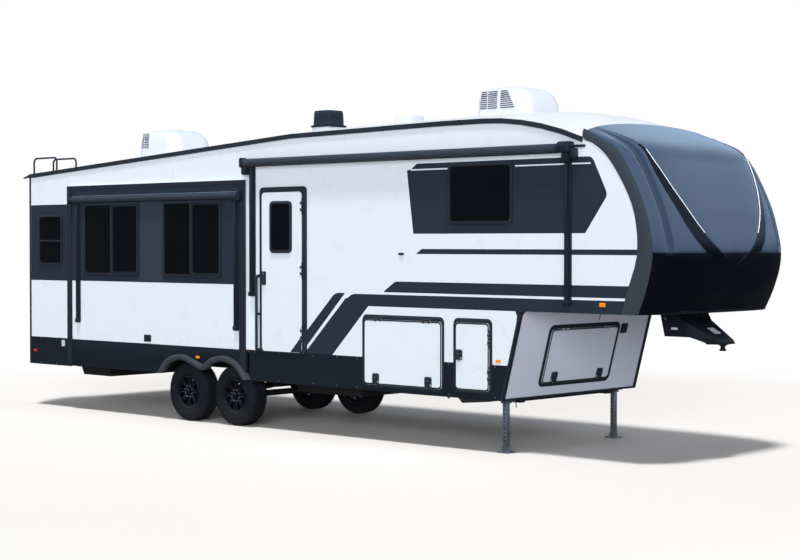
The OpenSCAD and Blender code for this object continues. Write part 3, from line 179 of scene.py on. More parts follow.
# Chassis: welded steel rails and cross members in black paint, dulled by road dust.
# The axles, the bumper and the pin box are in the same paint.
def finish(name, colour, rough, vary=0.06, patch=1.3, rough_vary=0.06, grain=260.0,
           bump=0.08, depth=0.0006, dust=None, **sockets):
    """A surface with patches of colour and gloss, and a fine grain; dust=(colour, top, amount)"""
    look = bpy.data.materials.new(name)
    look.use_nodes = True
    nodes, links = look.node_tree.nodes, look.node_tree.links
    shader = nodes["Principled BSDF"]
    place = nodes.new("ShaderNodeTexCoord")
    clouds = nodes.new("ShaderNodeTexNoise")
    clouds.inputs["Scale"].default_value = patch
    clouds.inputs["Detail"].default_value = 6.0
    clouds.inputs["Roughness"].default_value = 0.62
    links.new(place.outputs["Object"], clouds.inputs["Vector"])
    spread = nodes.new("ShaderNodeMapRange")
    spread.inputs["From Min"].default_value = 0.3
    spread.inputs["From Max"].default_value = 0.7
    links.new(clouds.outputs["Fac"], spread.inputs["Value"])
    blend = nodes.new("ShaderNodeMix")
    blend.data_type = "RGBA"
    blend.inputs["A"].default_value = (*[c * (1 - vary) for c in colour], 1)
    blend.inputs["B"].default_value = (*[min(1, c * (1 + vary)) for c in colour], 1)
    links.new(spread.outputs[0], blend.inputs["Factor"])
    tint = blend.outputs["Result"]
    gloss = nodes.new("ShaderNodeTexNoise")
    gloss.inputs["Scale"].default_value = patch * 7
    gloss.inputs["Detail"].default_value = 4.0
    links.new(place.outputs["Object"], gloss.inputs["Vector"])
    sheen = nodes.new("ShaderNodeMapRange")
    sheen.inputs["From Min"].default_value = 0.3
    sheen.inputs["From Max"].default_value = 0.7
    sheen.inputs["To Min"].default_value = max(0.02, rough - rough_vary)
    sheen.inputs["To Max"].default_value = min(1.0, rough + rough_vary)
    links.new(gloss.outputs["Fac"], sheen.inputs["Value"])
    links.new(sheen.outputs[0], shader.inputs["Roughness"])
    if dust:
        height = nodes.new("ShaderNodeSeparateXYZ")
        links.new(place.outputs["Object"], height.inputs[0])
        fall = nodes.new("ShaderNodeMapRange")
        fall.inputs["From Min"].default_value = 0.0
        fall.inputs["From Max"].default_value = dust[1]
        fall.inputs["To Min"].default_value = dust[2]
        fall.inputs["To Max"].default_value = 0.0
        links.new(height.outputs["Z"], fall.inputs["Value"])
        patchy = nodes.new("ShaderNodeMath")
        patchy.operation = "MULTIPLY"
        links.new(fall.outputs[0], patchy.inputs[0])
        links.new(gloss.outputs["Fac"], patchy.inputs[1])
        dusty = nodes.new("ShaderNodeMix")
        dusty.data_type = "RGBA"
        dusty.inputs["B"].default_value = (*dust[0], 1)
        links.new(patchy.outputs[0], dusty.inputs["Factor"])
        links.new(tint, dusty.inputs["A"])
        tint = dusty.outputs["Result"]
    links.new(tint, shader.inputs["Base Color"])
    fine = nodes.new("ShaderNodeTexNoise")
    fine.inputs["Scale"].default_value = grain
    fine.inputs["Detail"].default_value = 3.0
    links.new(place.outputs["Object"], fine.inputs["Vector"])
    relief = nodes.new("ShaderNodeBump")
    relief.inputs["Strength"].default_value = bump
    relief.inputs["Distance"].default_value = depth
    links.new(fine.outputs["Fac"], relief.inputs["Height"])
    links.new(relief.outputs[0], shader.inputs["Normal"])
    for socket, value in sockets.items():
        shader.inputs[socket.replace("_", " ")].default_value = value
    return look


def dress(look, *nodes):
    """Gives the frame's own nodes this finish"""
    for name in nodes:
        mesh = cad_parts[name].data
        mesh.materials.clear()
        mesh.materials.append(look)


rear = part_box("rear_wall")[0].x
wall_y = 1.22


def gather(meshes):
    """One mesh from several, with all faces outward"""
    whole = bmesh.new()
    for mesh in meshes:
        whole.from_mesh(mesh)
        bpy.data.meshes.remove(mesh)
    bmesh.ops.recalc_face_normals(whole, faces=whole.faces)
    mesh = bpy.data.meshes.new("piece")
    whole.to_mesh(mesh)
    whole.free()
    return mesh


def fit(name, meshes, body, look, crease=32):
    """Fits meshes, drawn with X from the rear wall's face, onto a body as one piece"""
    mesh = gather(meshes)
    mesh.name = name
    mesh.transform(Matrix.Translation((rear, 0, 0)))
    mesh.polygons.foreach_set("use_smooth", [True] * len(mesh.polygons))
    mesh.set_sharp_from_angle(angle=math.radians(crease))
    mesh.materials.append(look)
    piece = bpy.data.objects.new(name, mesh)
    scene.collection.objects.link(piece)
    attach(piece, body)
    return piece


def block(low, high, edge=0.003, steps=2):
    """A box between two corners, with rounded edges"""
    bm = bmesh.new()
    bmesh.ops.create_cube(bm, size=1)
    for v in bm.verts:
        v.co = [a + (c + 0.5) * (b - a) for a, b, c in zip(low, high, v.co)]
    if edge:
        bmesh.ops.bevel(bm, geom=bm.edges[:], offset=edge, segments=steps, profile=0.5, affect="EDGES")
    mesh = bpy.data.meshes.new("block")
    bm.to_mesh(mesh)
    bm.free()
    return mesh


def lathe(profile, centre, axis="Y", around=32):
    """A turned form from (radius, along) points, closed where the radius is nothing"""
    bm = bmesh.new()
    rings = []
    for radius, along in profile:
        ring = []
        for k in range(around):
            a = 2 * math.pi * k / around
            u, v = radius * math.cos(a), radius * math.sin(a)
            spot = {"X": (along, u, v), "Y": (u, along, v), "Z": (u, v, along)}[axis]
            ring.append(bm.verts.new(Vector(centre) + Vector(spot)))
        rings.append(ring)
    for low, high in zip(rings, rings[1:]):
        for k in range(around):
            bm.faces.new((low[k], low[(k + 1) % around], high[(k + 1) % around], high[k]))
    bmesh.ops.remove_doubles(bm, verts=bm.verts, dist=1e-5)
    mesh = bpy.data.meshes.new("turned")
    bm.to_mesh(mesh)
    bm.free()
    return mesh


def tube(points, radius, sides=3):
    """A round bar along points, with closed ends"""
    curve = bpy.data.curves.new("bar", "CURVE")
    curve.dimensions = "3D"
    curve.bevel_depth = radius
    curve.bevel_resolution = sides
    curve.use_fill_caps = True
    run = curve.splines.new("POLY")
    run.points.add(len(points) - 1)
    for point, spot in zip(run.points, points):
        point.co = (*spot, 1)
    holder = bpy.data.objects.new("bar", curve)
    mesh = bpy.data.meshes.new_from_object(holder)
    bpy.data.objects.remove(holder)
    bpy.data.curves.remove(curve)
    return mesh


road_dust = (0.16, 0.14, 0.12)
chassis_paint = finish("chassis_paint", (0.011, 0.013, 0.018), 0.42, vary=0.2, patch=2.2,
                       grain=140, bump=0.25, depth=0.001, dust=(road_dust, 1.2, 0.25), Specular_IOR_Level=0.2)
dress(chassis_paint, "chassis_frame", "axles", "rear_bumper")

# Running gear: leaf springs of bare dark steel held to the axles by U-bolts and
# spring seats, shackle bolts at their ends, and brake drums with a finned edge.
spring_steel = finish("spring_steel", (0.05, 0.038, 0.031), 0.7, vary=0.35, patch=9,
                      bump=0.4, depth=0.001, Metallic=0.6, dust=(road_dust, 0.9, 0.4))
dress(spring_steel, "leaf_springs")
tyre_r = 0.380
axle_places = [3.842 - 0.45, 3.842 + 0.45]
rail_y = wall_y - 0.43
track = wall_y - 0.155
u_bolts = []
for axle in axle_places:
    for side in (-1, 1):
        for step in (-0.055, 0.055):
            u_bolts.append(tube([(axle + step, side * rail_y - 0.042, 0.48), (axle + step, side * rail_y - 0.042, 0.335),
                                 (axle + step, side * rail_y + 0.042, 0.335), (axle + step, side * rail_y + 0.042, 0.48)], 0.007))
            for across in (-0.042, 0.042):
                u_bolts.append(lathe([(0, 0), (0.013, 0), (0.013, 0.012), (0, 0.012)],
                                     (axle + step, side * rail_y + across, 0.482), "Z", 6))
        u_bolts.append(block((axle - 0.075, side * rail_y - 0.05, 0.462), (axle + 0.075, side * rail_y + 0.05, 0.472)))
fit("spring_bolts", u_bolts, "root", spring_steel)
drum_fins = []
for axle in axle_places:
    for side in (-1, 1):
        for ring in (0.06, 0.078, 0.096):
            drum_fins.append(lathe([(0.150, -0.004), (0.163, -0.004), (0.163, 0.004), (0.150, 0.004)],
                                   (axle, side * (track - ring), tyre_r), "Y", 48))
fit("drum_fins", drum_fins, "root", chassis_paint)

# Holding tanks of black moulded plastic between the rails, each with its drain pipe
# and pull valve; the floors above are sheathed board, dark underneath.
tank_plastic = finish("tank_plastic", (0.014, 0.014, 0.016), 0.55, vary=0.2, patch=3,
                      grain=500, bump=0.3, dust=(road_dust, 1.0, 0.3))
dress(tank_plastic, "holding_tanks", "storage_floor")
floor_board = finish("floor_board", (0.30, 0.22, 0.14), 0.6, vary=0.25, patch=6, bump=0.2)
dress(floor_board, "living_floor")
belly_sheet = finish("belly_sheet", (0.008, 0.009, 0.012), 0.6, vary=0.15, patch=4, grain=300, bump=0.2,
                     Specular_IOR_Level=0.2)
dress(belly_sheet, "upper_deck")
drain_runs = [tube([(4.95, 0.35, 0.50), (4.95, 0.35, 0.455), (4.90, 0.34, 0.40), (4.80, 0.28, 0.395),
                    (4.62, 0.28, 0.40)], 0.038, 6),
              lathe([(0, 0), (0.048, 0), (0.048, 0.03), (0.040, 0.034), (0, 0.034)], (4.59, 0.28, 0.40), "X", 24)]
fit("drain_pipe", drain_runs, "root", tank_plastic)

# Landing legs and stabilisers of galvanised steel tube. The crystals of the zinc show
# in the sheen; the inner tubes are punched, and a pin holds each at its length.
zinc = finish("zinc", (0.46, 0.47, 0.49), 0.36, vary=0.22, patch=22, rough_vary=0.14,
              bump=0.15, Metallic=0.85)
dress(zinc, "stabilisers")
leg_x = 8.530
leg_y = 0.985
inner_half, outer_half = 0.029, 0.040
pad_x, pad_y = 0.085, 0.062
# The holes are dark discs on the inner tubes' faces: painted shade inside them.
punched = finish("punched_shadow", (0.010, 0.010, 0.011), 0.8, vary=0.2, patch=40)
leg_tubes, leg_holes, leg_parts = [], [], []
for side in (-1, 1):
    y = side * leg_y
    leg_tubes += [block((leg_x - inner_half, y - inner_half, 0.008), (leg_x + inner_half, y + inner_half, 0.60), 0.005),
                  block((leg_x - outer_half, y - outer_half, 0.545), (leg_x + outer_half, y + outer_half, 1.40), 0.006),
                  block((leg_x - pad_x, y - pad_y, 0.0), (leg_x + pad_x, y + pad_y, 0.008), 0.003),
                  block((leg_x - 0.078, y - 0.062, 0.566), (leg_x + 0.078, y + 0.062, 0.578), 0.003)]
    for way in (-1, 1):
        x0, x1 = sorted((leg_x + way * inner_half, leg_x + way * (inner_half + 0.030)))
        leg_tubes.append(block((x0, y - 0.004, 0.006), (x1, y + 0.004, 0.060), 0.002))
        lip0, lip1 = sorted((y + way * pad_y, y + way * (pad_y - 0.006)))
        leg_tubes.append(block((leg_x - pad_x, lip0, 0.0), (leg_x + pad_x, lip1, 0.018), 0.002))
    for face in (-1, 1):
        for k in range(9):
            spot = (leg_x, y + face * (inner_half + 0.0005), 0.13 + k * 0.042)
            leg_holes.append(lathe([(0, -0.0008), (0.008, -0.0008), (0.008, 0.0008), (0, 0.0008)], spot, "Y", 16))
    leg_parts.append(block((leg_x - 0.045, y - 0.045, 0.540), (leg_x + 0.045, y + 0.045, 0.556)))
    leg_parts.append(tube([(leg_x + 0.004, y - 0.058, 0.525), (leg_x + 0.004, y + 0.052, 0.525)], 0.007))
    leg_parts.append(tube([(leg_x + 0.004, y - 0.058, 0.525), (leg_x + 0.012, y - 0.064, 0.510),
                           (leg_x + 0.014, y - 0.064, 0.480), (leg_x + 0.004, y - 0.058, 0.470)], 0.003))
leg_parts.append(tube([(leg_x + 0.03, -leg_y, 0.560), (leg_x + 0.12, -leg_y, 0.560), (leg_x + 0.14, -leg_y, 0.545),
                       (leg_x + 0.14, -leg_y, 0.50)], 0.006))
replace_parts(fit("leg_tubes", leg_tubes, "root", zinc), "landing_legs")
fit("leg_holes", leg_holes, "root", punched)
fit("leg_pins", leg_parts, "root", zinc)

# Pin box: folded steel plate between two bolted side plates. Its slanted nose narrows
# to the hitch plate, and the kingpin is turned from steel and welded through it.
pin_x = 10.650
hitch_z = 1.2375
pin_half = 0.270
plate_t = 0.012


def folded(rings):
    """A plate body through rings of four corners each, with eased edges"""
    bm = bmesh.new()
    rows = [[bm.verts.new(corner) for corner in ring] for ring in rings]
    for a, b in zip(rows, rows[1:]):
        for k in range(4):
            bm.faces.new((a[k], a[(k + 1) % 4], b[(k + 1) % 4], b[k]))
    bm.faces.new(rows[0])
    bm.faces.new(rows[-1][::-1])
    bmesh.ops.bevel(bm, geom=bm.edges[:], offset=0.003, segments=2, profile=0.5, affect="EDGES")
    mesh = bpy.data.meshes.new("folded")
    bm.to_mesh(mesh)
    bm.free()
    return mesh


def pin_ring(low_x, low_z, low_half, top_x, top_z, top_half):
    return [(low_x, -low_half, low_z), (low_x, low_half, low_z), (top_x, top_half, top_z), (top_x, -top_half, top_z)]


pin_form = [folded([pin_ring(10.115, 1.305, pin_half, 10.055, 1.556, pin_half),
                    pin_ring(10.395, 1.305, pin_half, 10.265, 1.556, pin_half),
                    pin_ring(10.405, 1.300, pin_half, 10.280, 1.500, pin_half),
                    pin_ring(10.570, hitch_z, 0.195, 10.490, 1.381, 0.205),
                    pin_ring(pin_x + 0.060, hitch_z, 0.130, pin_x + 0.052, 1.262, 0.134)]),
            folded([pin_ring(10.560, hitch_z - plate_t, 0.185, 10.560, hitch_z, 0.185),
                    pin_ring(10.580, hitch_z - plate_t, 0.185, 10.570, hitch_z, 0.185),
                    pin_ring(pin_x + 0.070, hitch_z - plate_t, 0.132, pin_x + 0.070, hitch_z, 0.132)]),
            block((10.30, -0.060, 1.495), (10.385, -0.050, 1.556)), block((10.30, 0.050, 1.495), (10.385, 0.060, 1.556)),
            lathe([(0, 0), (0.060, 0), (0.060, -0.006), (0.0365, -0.012), (0.0365, -0.018), (0.0254, -0.018), (0.0254, -0.050),
                   (0.0365, -0.052), (0.0365, -0.066), (0.030, -0.072), (0, -0.072)], (pin_x, 0, hitch_z - plate_t), "Z", 40)]
pin_bolts, bright_bolts = [], []
for side in (-1, 1):
    inner, outer = side * pin_half, side * (pin_half + plate_t)
    pin_form.append(folded([[(10.110, inner, 1.298), (10.110, outer, 1.298), (10.050, outer, 1.556), (10.050, inner, 1.556)],
                            [(10.412, inner, 1.298), (10.412, outer, 1.298), (10.278, outer, 1.556), (10.278, inner, 1.556)]]))
    for x, z, bolts in ((10.125, 1.488, bright_bolts), (10.265, 1.505, pin_bolts), (10.160, 1.335, pin_bolts),
                        (10.355, 1.335, pin_bolts), (10.240, 1.440, pin_bolts)):
        bolts.append(lathe([(0, 0), (0.018, 0), (0.018, side * 0.003), (0.0125, side * 0.003), (0.0125, side * 0.013),
                            (0.009, side * 0.015), (0, side * 0.015)], (x, outer, z), "Y", 6))
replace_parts(fit("pin_box_plates", pin_form, "root", chassis_paint), "pin_box")
fit("pin_box_bolts", pin_bolts, "root", chassis_paint)
fit("pin_box_nuts", bright_bolts, "root", zinc)
blank_plate = finish("blank_plate", (0.62, 0.64, 0.68), 0.4, vary=0.05, patch=12)
nose_plate = block((-0.060, -0.062, 0.0), (0.060, 0.062, 0.0015), 0.0005, 1)
nose_plate.transform(Matrix.Translation((10.530, 0.020, 1.3605)) @ Matrix.Rotation(math.atan2(0.238, 0.42), 4, "Y"))
plates = [block((10.195, -0.2835, 1.372), (10.275, -0.2815, 1.396), 0.0005, 1), nose_plate]
fit("blank_plates", plates, "root", blank_plate)
# Walls: laminated panels faced with white gelcoat, nearly flat, with a soft gloss. The
# slanted wall over the legs and its door are a bluish grey, darker than the white walls,
# and the roof is a matt membrane glued down.
wall_white = finish("wall_white", (0.835, 0.90, 0.975), 0.28, vary=0.005, patch=0.35, rough_vary=0.012,
                    grain=0.8, bump=0.02, depth=0.004, Specular_IOR_Level=0.3, Coat_Weight=0.08, Coat_Roughness=0.1)
dress(wall_white, "side_wall_right", "side_wall_left", "rear_wall", "slide_right_room",
      "slide_left_room", "bed_slide_room", "entry_door", "storage_door_right",
      "locker_door_right", "storage_door_left")
silver = finish("silver", (0.68, 0.705, 0.835), 0.30, vary=0.03, patch=0.45, rough_vary=0.015,
                grain=1.1, bump=0.02, depth=0.003, Specular_IOR_Level=0.3)
dress(silver, "front_wall", "storage_door_front")
membrane = finish("membrane", (0.80, 0.81, 0.84), 0.72, vary=0.05, patch=1.0, grain=90,
                  bump=0.2, depth=0.001)
dress(membrane, "roof")

# Black mouldings: textured plastic screwed along the roof's edge, over the rear corners
# and round the slanted wall. They hide the joints between the panels.
black_moulding = finish("black_moulding", (0.022, 0.029, 0.040), 0.42, vary=0.15, patch=3,
                        grain=700, bump=0.3, depth=0.0005, Specular_IOR_Level=0.25)
dress(black_moulding, "gutters", "ladder", "door_frames")
trim_grain = finish("trim_grain", (0.038, 0.048, 0.060), 0.55, vary=0.45, patch=160, grain=420,
                    bump=0.9, depth=0.002)
dress(trim_grain, "cap_trim")
deck_z = 1.556
skirt_z = 0.586
sill_z = 0.968
front_foot = 8.660
front_slope = math.tan(math.radians(15))
across = Vector((0, 1, 0))
up_front = Vector((math.sin(math.radians(15)), 0, math.cos(math.radians(15))))
out_front = Vector((math.cos(math.radians(15)), 0, -math.sin(math.radians(15))))


def wall_frame(x_axis, y_axis, z_axis, origin):
    """The place of a wall, from its own across, up and out directions"""
    rows = [[a[k] for a in (x_axis, y_axis, z_axis)] + [origin[k]] for k in range(3)]
    return Matrix(rows + [[0, 0, 0, 1]])


up = Vector((0, 0, 1))
right = wall_frame((1, 0, 0), up, (0, -1, 0), (0, -wall_y, 0))
left = wall_frame((1, 0, 0), up, (0, 1, 0), (0, wall_y, 0))
back = wall_frame(across, up, (-1, 0, 0), (0, 0, 0))
front = wall_frame(across, up_front, out_front, (front_foot, 0, skirt_z))


def flat(outlines, thickness, edge=0.0, steps=1):
    """A sheet cut to the first outline, with the others as holes, and its edges eased"""
    curve = bpy.data.curves.new("cut", "CURVE")
    curve.dimensions = "2D"
    curve.fill_mode = "BOTH"
    curve.extrude = thickness / 2 - edge
    curve.bevel_depth = edge
    curve.bevel_resolution = steps
    curve.offset = -edge
    for outline in outlines:
        line = curve.splines.new("POLY")
        line.points.add(len(outline) - 1)
        for point, (x, z) in zip(line.points, outline):
            point.co = (x, z, 0, 1)
        line.use_cyclic_u = True
    holder = bpy.data.objects.new("cut", curve)
    mesh = bpy.data.meshes.new_from_object(holder)
    bpy.data.objects.remove(holder)
    bpy.data.curves.remove(curve)
    mesh.transform(Matrix.Translation((0, 0, thickness / 2)))
    bm = bmesh.new()
    bm.from_mesh(mesh)
    bmesh.ops.remove_doubles(bm, verts=bm.verts, dist=1e-5)
    bm.to_mesh(mesh)
    bm.free()
    return mesh


def stand(mesh, wall, out=0.0):
    """Moves a flat piece onto a wall, its inner face out from the wall's face"""
    mesh.transform(wall @ Matrix.Translation((0, 0, out)))
    return mesh


def rounded(x0, x1, z0, z1, r, n=6):
    """A rectangle's outline with round corners"""
    spots = []
    for cx, cz, start in ((x1 - r, z1 - r, 0), (x0 + r, z1 - r, 90), (x0 + r, z0 + r, 180), (x1 - r, z0 + r, 270)):
        for k in range(n + 1):
            a = math.radians(start + 90 * k / n)
            spots.append((cx + r * math.cos(a), cz + r * math.sin(a)))
    return spots


def soften(outline, r, n=5):
    """The same outline with each corner rounded to r, or less where the edges are short"""
    spots = []
    for k, corner in enumerate(outline):
        here = Vector(corner)
        before, after = Vector(outline[k - 1]), Vector(outline[(k + 1) % len(outline)])
        reach = min(r, (before - here).length * 0.45, (after - here).length * 0.45)
        a = here + (before - here).normalized() * reach
        b = here + (after - here).normalized() * reach
        for step in range(n + 1):
            t = step / n
            spots.append(tuple(a * (1 - t) ** 2 + here * 2 * t * (1 - t) + b * t ** 2))
    return spots


corner_w = 0.032
corner_lap = 0.006
roof_rear = 3.251
corner_mould = []
for side in (-1, 1):
    y0, y1 = sorted((side * (wall_y + corner_lap), side * (wall_y - corner_w)))
    corner_mould.append(block((-corner_lap, y0, skirt_z), (0.006, y1, roof_rear - 0.04), 0.002))
    y0, y1 = sorted((side * (wall_y + corner_lap), side * (wall_y - 0.006)))
    corner_mould.append(block((-corner_lap, y0, skirt_z), (corner_w, y1, roof_rear - 0.04), 0.002))

edge_w = 0.020
front_h = (deck_z - skirt_z) / math.cos(math.radians(15))
post_w = 0.046
corner_r = 0.060
post_top = [(wall_y - post_w - corner_r + corner_r * math.sin(math.radians(a)), front_h - corner_r + corner_r * math.cos(math.radians(a)))
            for a in range(0, 91, 15)]
edge_ring = [[(-wall_y - 0.005, -0.004), (wall_y + 0.005, -0.004), (wall_y + 0.005, front_h), *post_top,
              (wall_y - post_w, edge_w), (-wall_y + post_w, edge_w), *[(-y, up) for y, up in post_top[::-1]],
              (-wall_y - 0.005, front_h)]]
front_edges = [stand(flat(edge_ring, 0.009, 0.003, 2), front, 0.0)]
for wall in (right, left):
    lean = lambda z: front_foot + (z - skirt_z) * front_slope
    side_edge = [(lean(skirt_z) - edge_w, skirt_z), (lean(skirt_z) + 0.002, skirt_z), (lean(deck_z) + 0.002, deck_z),
                 (lean(deck_z) - edge_w * 3.4, deck_z), (lean(deck_z - 0.05) - edge_w * 1.5, deck_z - 0.05),
                 (lean(deck_z - 0.13) - edge_w, deck_z - 0.13)]
    front_edges.append(stand(flat([side_edge], 0.007, 0.002), wall))
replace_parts(fit("edge_mouldings", corner_mould + front_edges, "root", black_moulding), "corner_mouldings")

# Skirts: panels in dark slate paint, with dust thrown up along the lower edge. A few
# pan-head screws hold them to the frame.
skirt_paint = finish("skirt_paint", (0.013, 0.017, 0.026), 0.34, vary=0.10, patch=1.4, rough_vary=0.02, grain=1.2,
                     bump=0.02, depth=0.003, dust=(road_dust, 0.80, 0.03), Specular_IOR_Level=0.10)
dress(skirt_paint, "skirt_right", "skirt_left", "slide_right_skirt", "slide_left_skirt")
skirt_screws = []
for wall in (right, left):
    for x in (0.25, 0.62, 4.72, 5.15, 5.75, 6.15, 6.48, 7.905, 8.57):
        for z in (0.612, 0.945):
            screw = lathe([(0, 0), (0.0065, 0), (0.006, 0.0025), (0.003, 0.0038), (0, 0.004)], (0, 0, 0), "Z", 12)
            screw.transform(Matrix.Translation((x, z, 0)))
            skirt_screws.append(stand(screw, wall))
fit("skirt_screws", skirt_screws, "root", zinc)
inspection = [stand(flat([rounded(0.742, 0.818, 0.855, 0.940, 0.012)], 0.006, 0.002), right)]
fit("inspection_cover", inspection, "root", blank_plate)

# Belly tray and drain: a black moulded tray hangs under the front skirt, and a short
# grey drain pipe shows beside it.
tray = [(8.001, 0.592), (8.074, 0.526), (8.447, 0.560), (8.470, 0.592)]
fit("belly_tray", [stand(flat([tray], 0.20, 0.006, 2), right, -0.225)], "root", tank_plastic)
drain = [tube([(7.840, -1.150, 0.620), (7.840, -1.150, 0.560)], 0.016, 4)]
fit("belly_drain", drain, "root", zinc)

# Stripes: cut vinyl film on the walls, in dark slate and black. Two bands run from the
# nose down to the skirt behind a narrow slash, and a six-cornered field frames the
# bedroom window. The film lies on each panel by itself, so it rides on its own body.
film = 0.0009
slate_film = finish("slate_film", (0.024, 0.034, 0.052), 0.34, vary=0.04, patch=0.8, rough_vary=0.01,
                    grain=1.2, bump=0.01, depth=0.002, Specular_IOR_Level=0.12)
cap_foot, cap_lean = 10.230, 0.326
edge_at = lambda z: cap_foot + cap_lean * (z - deck_z)


def clipped(outline, low, high, axis):
    """The part of an outline between two values along X (axis 0) or up (axis 1)"""
    for limit, keep in ((low, 1), (high, -1)):
        spots = []
        for a, b in zip(outline, outline[1:] + outline[:1]):
            da, db = (a[axis] - limit) * keep, (b[axis] - limit) * keep
            if da >= 0:
                spots.append(a)
            if da * db < 0:
                t = da / (da - db)
                spots.append((a[0] + (b[0] - a[0]) * t, a[1] + (b[1] - a[1]) * t))
        outline = spots
        if len(outline) < 3:
            return []
    return outline


stripe = [(7.410, 2.160), (edge_at(2.160), 2.160), (edge_at(2.216), 2.216), (7.497, 2.216)]
upper_band = [(6.925, 1.722), (edge_at(1.722), 1.722), (edge_at(1.846), 1.846), (7.110, 1.846), (7.075, 1.836),
              (6.912, 1.732)]
band_joint = 6.700
lower_band = [(band_joint, 1.556), (edge_at(1.556), 1.556), (edge_at(1.694), 1.694), (band_joint, 1.694)]
leg_band = [(5.603, sill_z), (6.075, sill_z), (6.663, 1.556), (band_joint, 1.556), (band_joint, 1.694), (6.440, 1.694),
            (6.385, 1.680), (6.330, 1.645), (6.290, 1.635)]
narrow_band = [(5.363, sill_z), (5.553, sill_z), (6.285, 1.700), (6.180, 1.700), (6.130, 1.692), (6.085, 1.665)]
bed_field = [(7.272, 3.096), (7.369, 2.386), (9.773, 2.384), (10.057, 2.775), (9.860, 3.171), (7.422, 3.170),
             (7.349, 3.117)]
bed_field = bed_field[:3] + soften(bed_field, 0.05)[18:30] + bed_field[5:]
bed_pinstripes = [[(7.325, 3.095), (7.884, 3.095), (7.884, 3.110), (7.335, 3.110)],
                  [(8.841, 3.095), (9.845, 3.095), (9.838, 3.110), (8.841, 3.110)]]
bed_window = (7.896, 8.814, 2.485, 3.152)
rear_field = [(0.034, 1.763), (0.948, 1.763), (0.948, 2.815), (0.034, 2.815)]
rear_window = (0.217, 0.777, 1.971, 2.676)
window_r = 0.060
entry_edge = 5.649
door_stripe = [(5.372, 0.972), (5.548, 0.972), (5.5655, 0.990), (5.5655, 1.168)]

right_film = [stand(flat([o], film), right) for o in
              (stripe, upper_band, lower_band, leg_band, clipped(narrow_band, entry_edge, 9, 0))]
right_film.append(stand(flat([bed_field, rounded(*bed_window, window_r)] + bed_pinstripes, film), right))
right_film.append(stand(flat([rear_field, rounded(*rear_window, window_r)], film), right))
fit("stripes_right", right_film, "root", slate_film)
leaf_face = 0.016
fit("stripe_entry", [stand(flat([door_stripe], film), right, leaf_face)], "entry_leaf", slate_film)

bed_x0, bed_x1, bed_z0 = 7.110, 8.690, 1.630
slide_face = 0.045
bed_slide_window = (7.560, 8.240, 2.485, 3.152)
left_film = [stand(flat([o], film), left) for o in
             (leg_band, narrow_band, clipped(lower_band, 0, bed_x0 - 0.006, 0),
              clipped(clipped(lower_band, bed_x0 - 0.006, bed_x1 + 0.006, 0), 0, bed_z0 - 0.006, 1),
              clipped(lower_band, bed_x1 + 0.006, 12, 0), clipped(upper_band, 0, bed_x0 - 0.006, 0),
              clipped(upper_band, bed_x1 + 0.006, 12, 0), clipped(stripe, bed_x1 + 0.006, 12, 0))]
left_film.append(stand(flat([clipped(bed_field, bed_x1 + 0.006, 12, 0),
                             clipped(bed_pinstripes[1], 8.841, 12, 0)], film), left))
left_film.append(stand(flat([rear_field, rounded(*rear_window, window_r)], film), left))
fit("stripes_left", left_film, "root", slate_film)
bed_film = [stand(flat([o], film), left, slide_face) for o in
            (clipped(stripe, 0, bed_x1 - 0.004, 0), clipped(clipped(upper_band, bed_x0 + 0.004, bed_x1 - 0.004, 0), 0, 3, 1),
             clipped(clipped(lower_band, bed_x0 + 0.004, bed_x1 - 0.004, 0), bed_z0 + 0.004, 3, 1))]
bed_film.append(stand(flat([clipped(bed_field, 0, bed_x1 - 0.004, 0), rounded(*bed_slide_window, window_r),
                            clipped(bed_pinstripes[0], 7, 7.548, 0)], film), left, slide_face))
fit("stripes_bed_slide", bed_film, "bed_slide", slate_film)

# Slide-out rooms: the upper half of each face is dark slate film round the windows,
# with a lighter field between them. Black end mouldings and a top moulding finish the
# face, from the top down over the skirt.
slide_x0, slide_x1, slide_top = 0.950, 4.610, 3.060
end_w = 0.104
end_foot = 0.600
mould_t = 0.010
rib_foot = 0.760
slide_windows = [(1.330, 2.516, 1.849, 2.820), (3.015, 4.158, 1.849, 2.820)]
kitchen_windows = [(1.500, 2.500, 1.990, 2.560), (3.200, 4.158, 1.849, 2.820)]
dark_field = [(slide_x0 + end_w, 1.770), (slide_x1 - end_w - 0.016, 1.770), (slide_x1 - end_w - 0.016, slide_top - 0.045),
              (slide_x0 + end_w, slide_top - 0.045)]
pale_slate = finish("pale_slate", (0.036, 0.048, 0.070), 0.34, vary=0.04, patch=0.8, rough_vary=0.01,
                    grain=1.2, bump=0.01, depth=0.002, Specular_IOR_Level=0.12)
for wall, body, windows, name in ((right, "slide_right", slide_windows, "right"), (left, "slide_left", kitchen_windows, "left")):
    holes = [rounded(*w, window_r) for w in windows]
    face = [stand(flat([dark_field] + holes, film), wall, slide_face)]
    fit("dark_face_" + name, face, body, slate_film)
    between = [rounded(windows[0][1] + 0.012, windows[1][0] - 0.012, 1.79, 2.93, 0.01)]
    fit("window_field_" + name, [stand(flat(between, 0.0016), wall, slide_face)], body, pale_slate)
    ribs = []
    for x, foot in ((slide_x0 + 0.006, end_foot), (slide_x0 + end_w * 0.62, end_foot), (slide_x0 + end_w - 0.006, end_foot),
                    (slide_x1 - end_w - 0.010, rib_foot), (slide_x1 - end_w * 0.7, rib_foot), (slide_x1 - 0.006, rib_foot)):
        ribs.append(stand(flat([rounded(x - 0.004, x + 0.004, foot + 0.01, slide_top - 0.01, 0.003, 2)], 0.004, 0.0015), wall,
                          slide_face + mould_t))
    fit("moulding_ribs_" + name, ribs, body, black_moulding)
bed_top = 3.390
bed_ring = [stand(flat([rounded(bed_x0 - 0.003, bed_x1 + 0.003, bed_z0 - 0.003, bed_top + 0.003, 0.01),
                        rounded(bed_x0 + 0.028, bed_x1 - 0.028, bed_z0 + 0.028, bed_top - 0.028, 0.008)], 0.005, 0.002), left, slide_face)]
fit("bed_slide_moulding", bed_ring, "bed_slide", black_moulding)

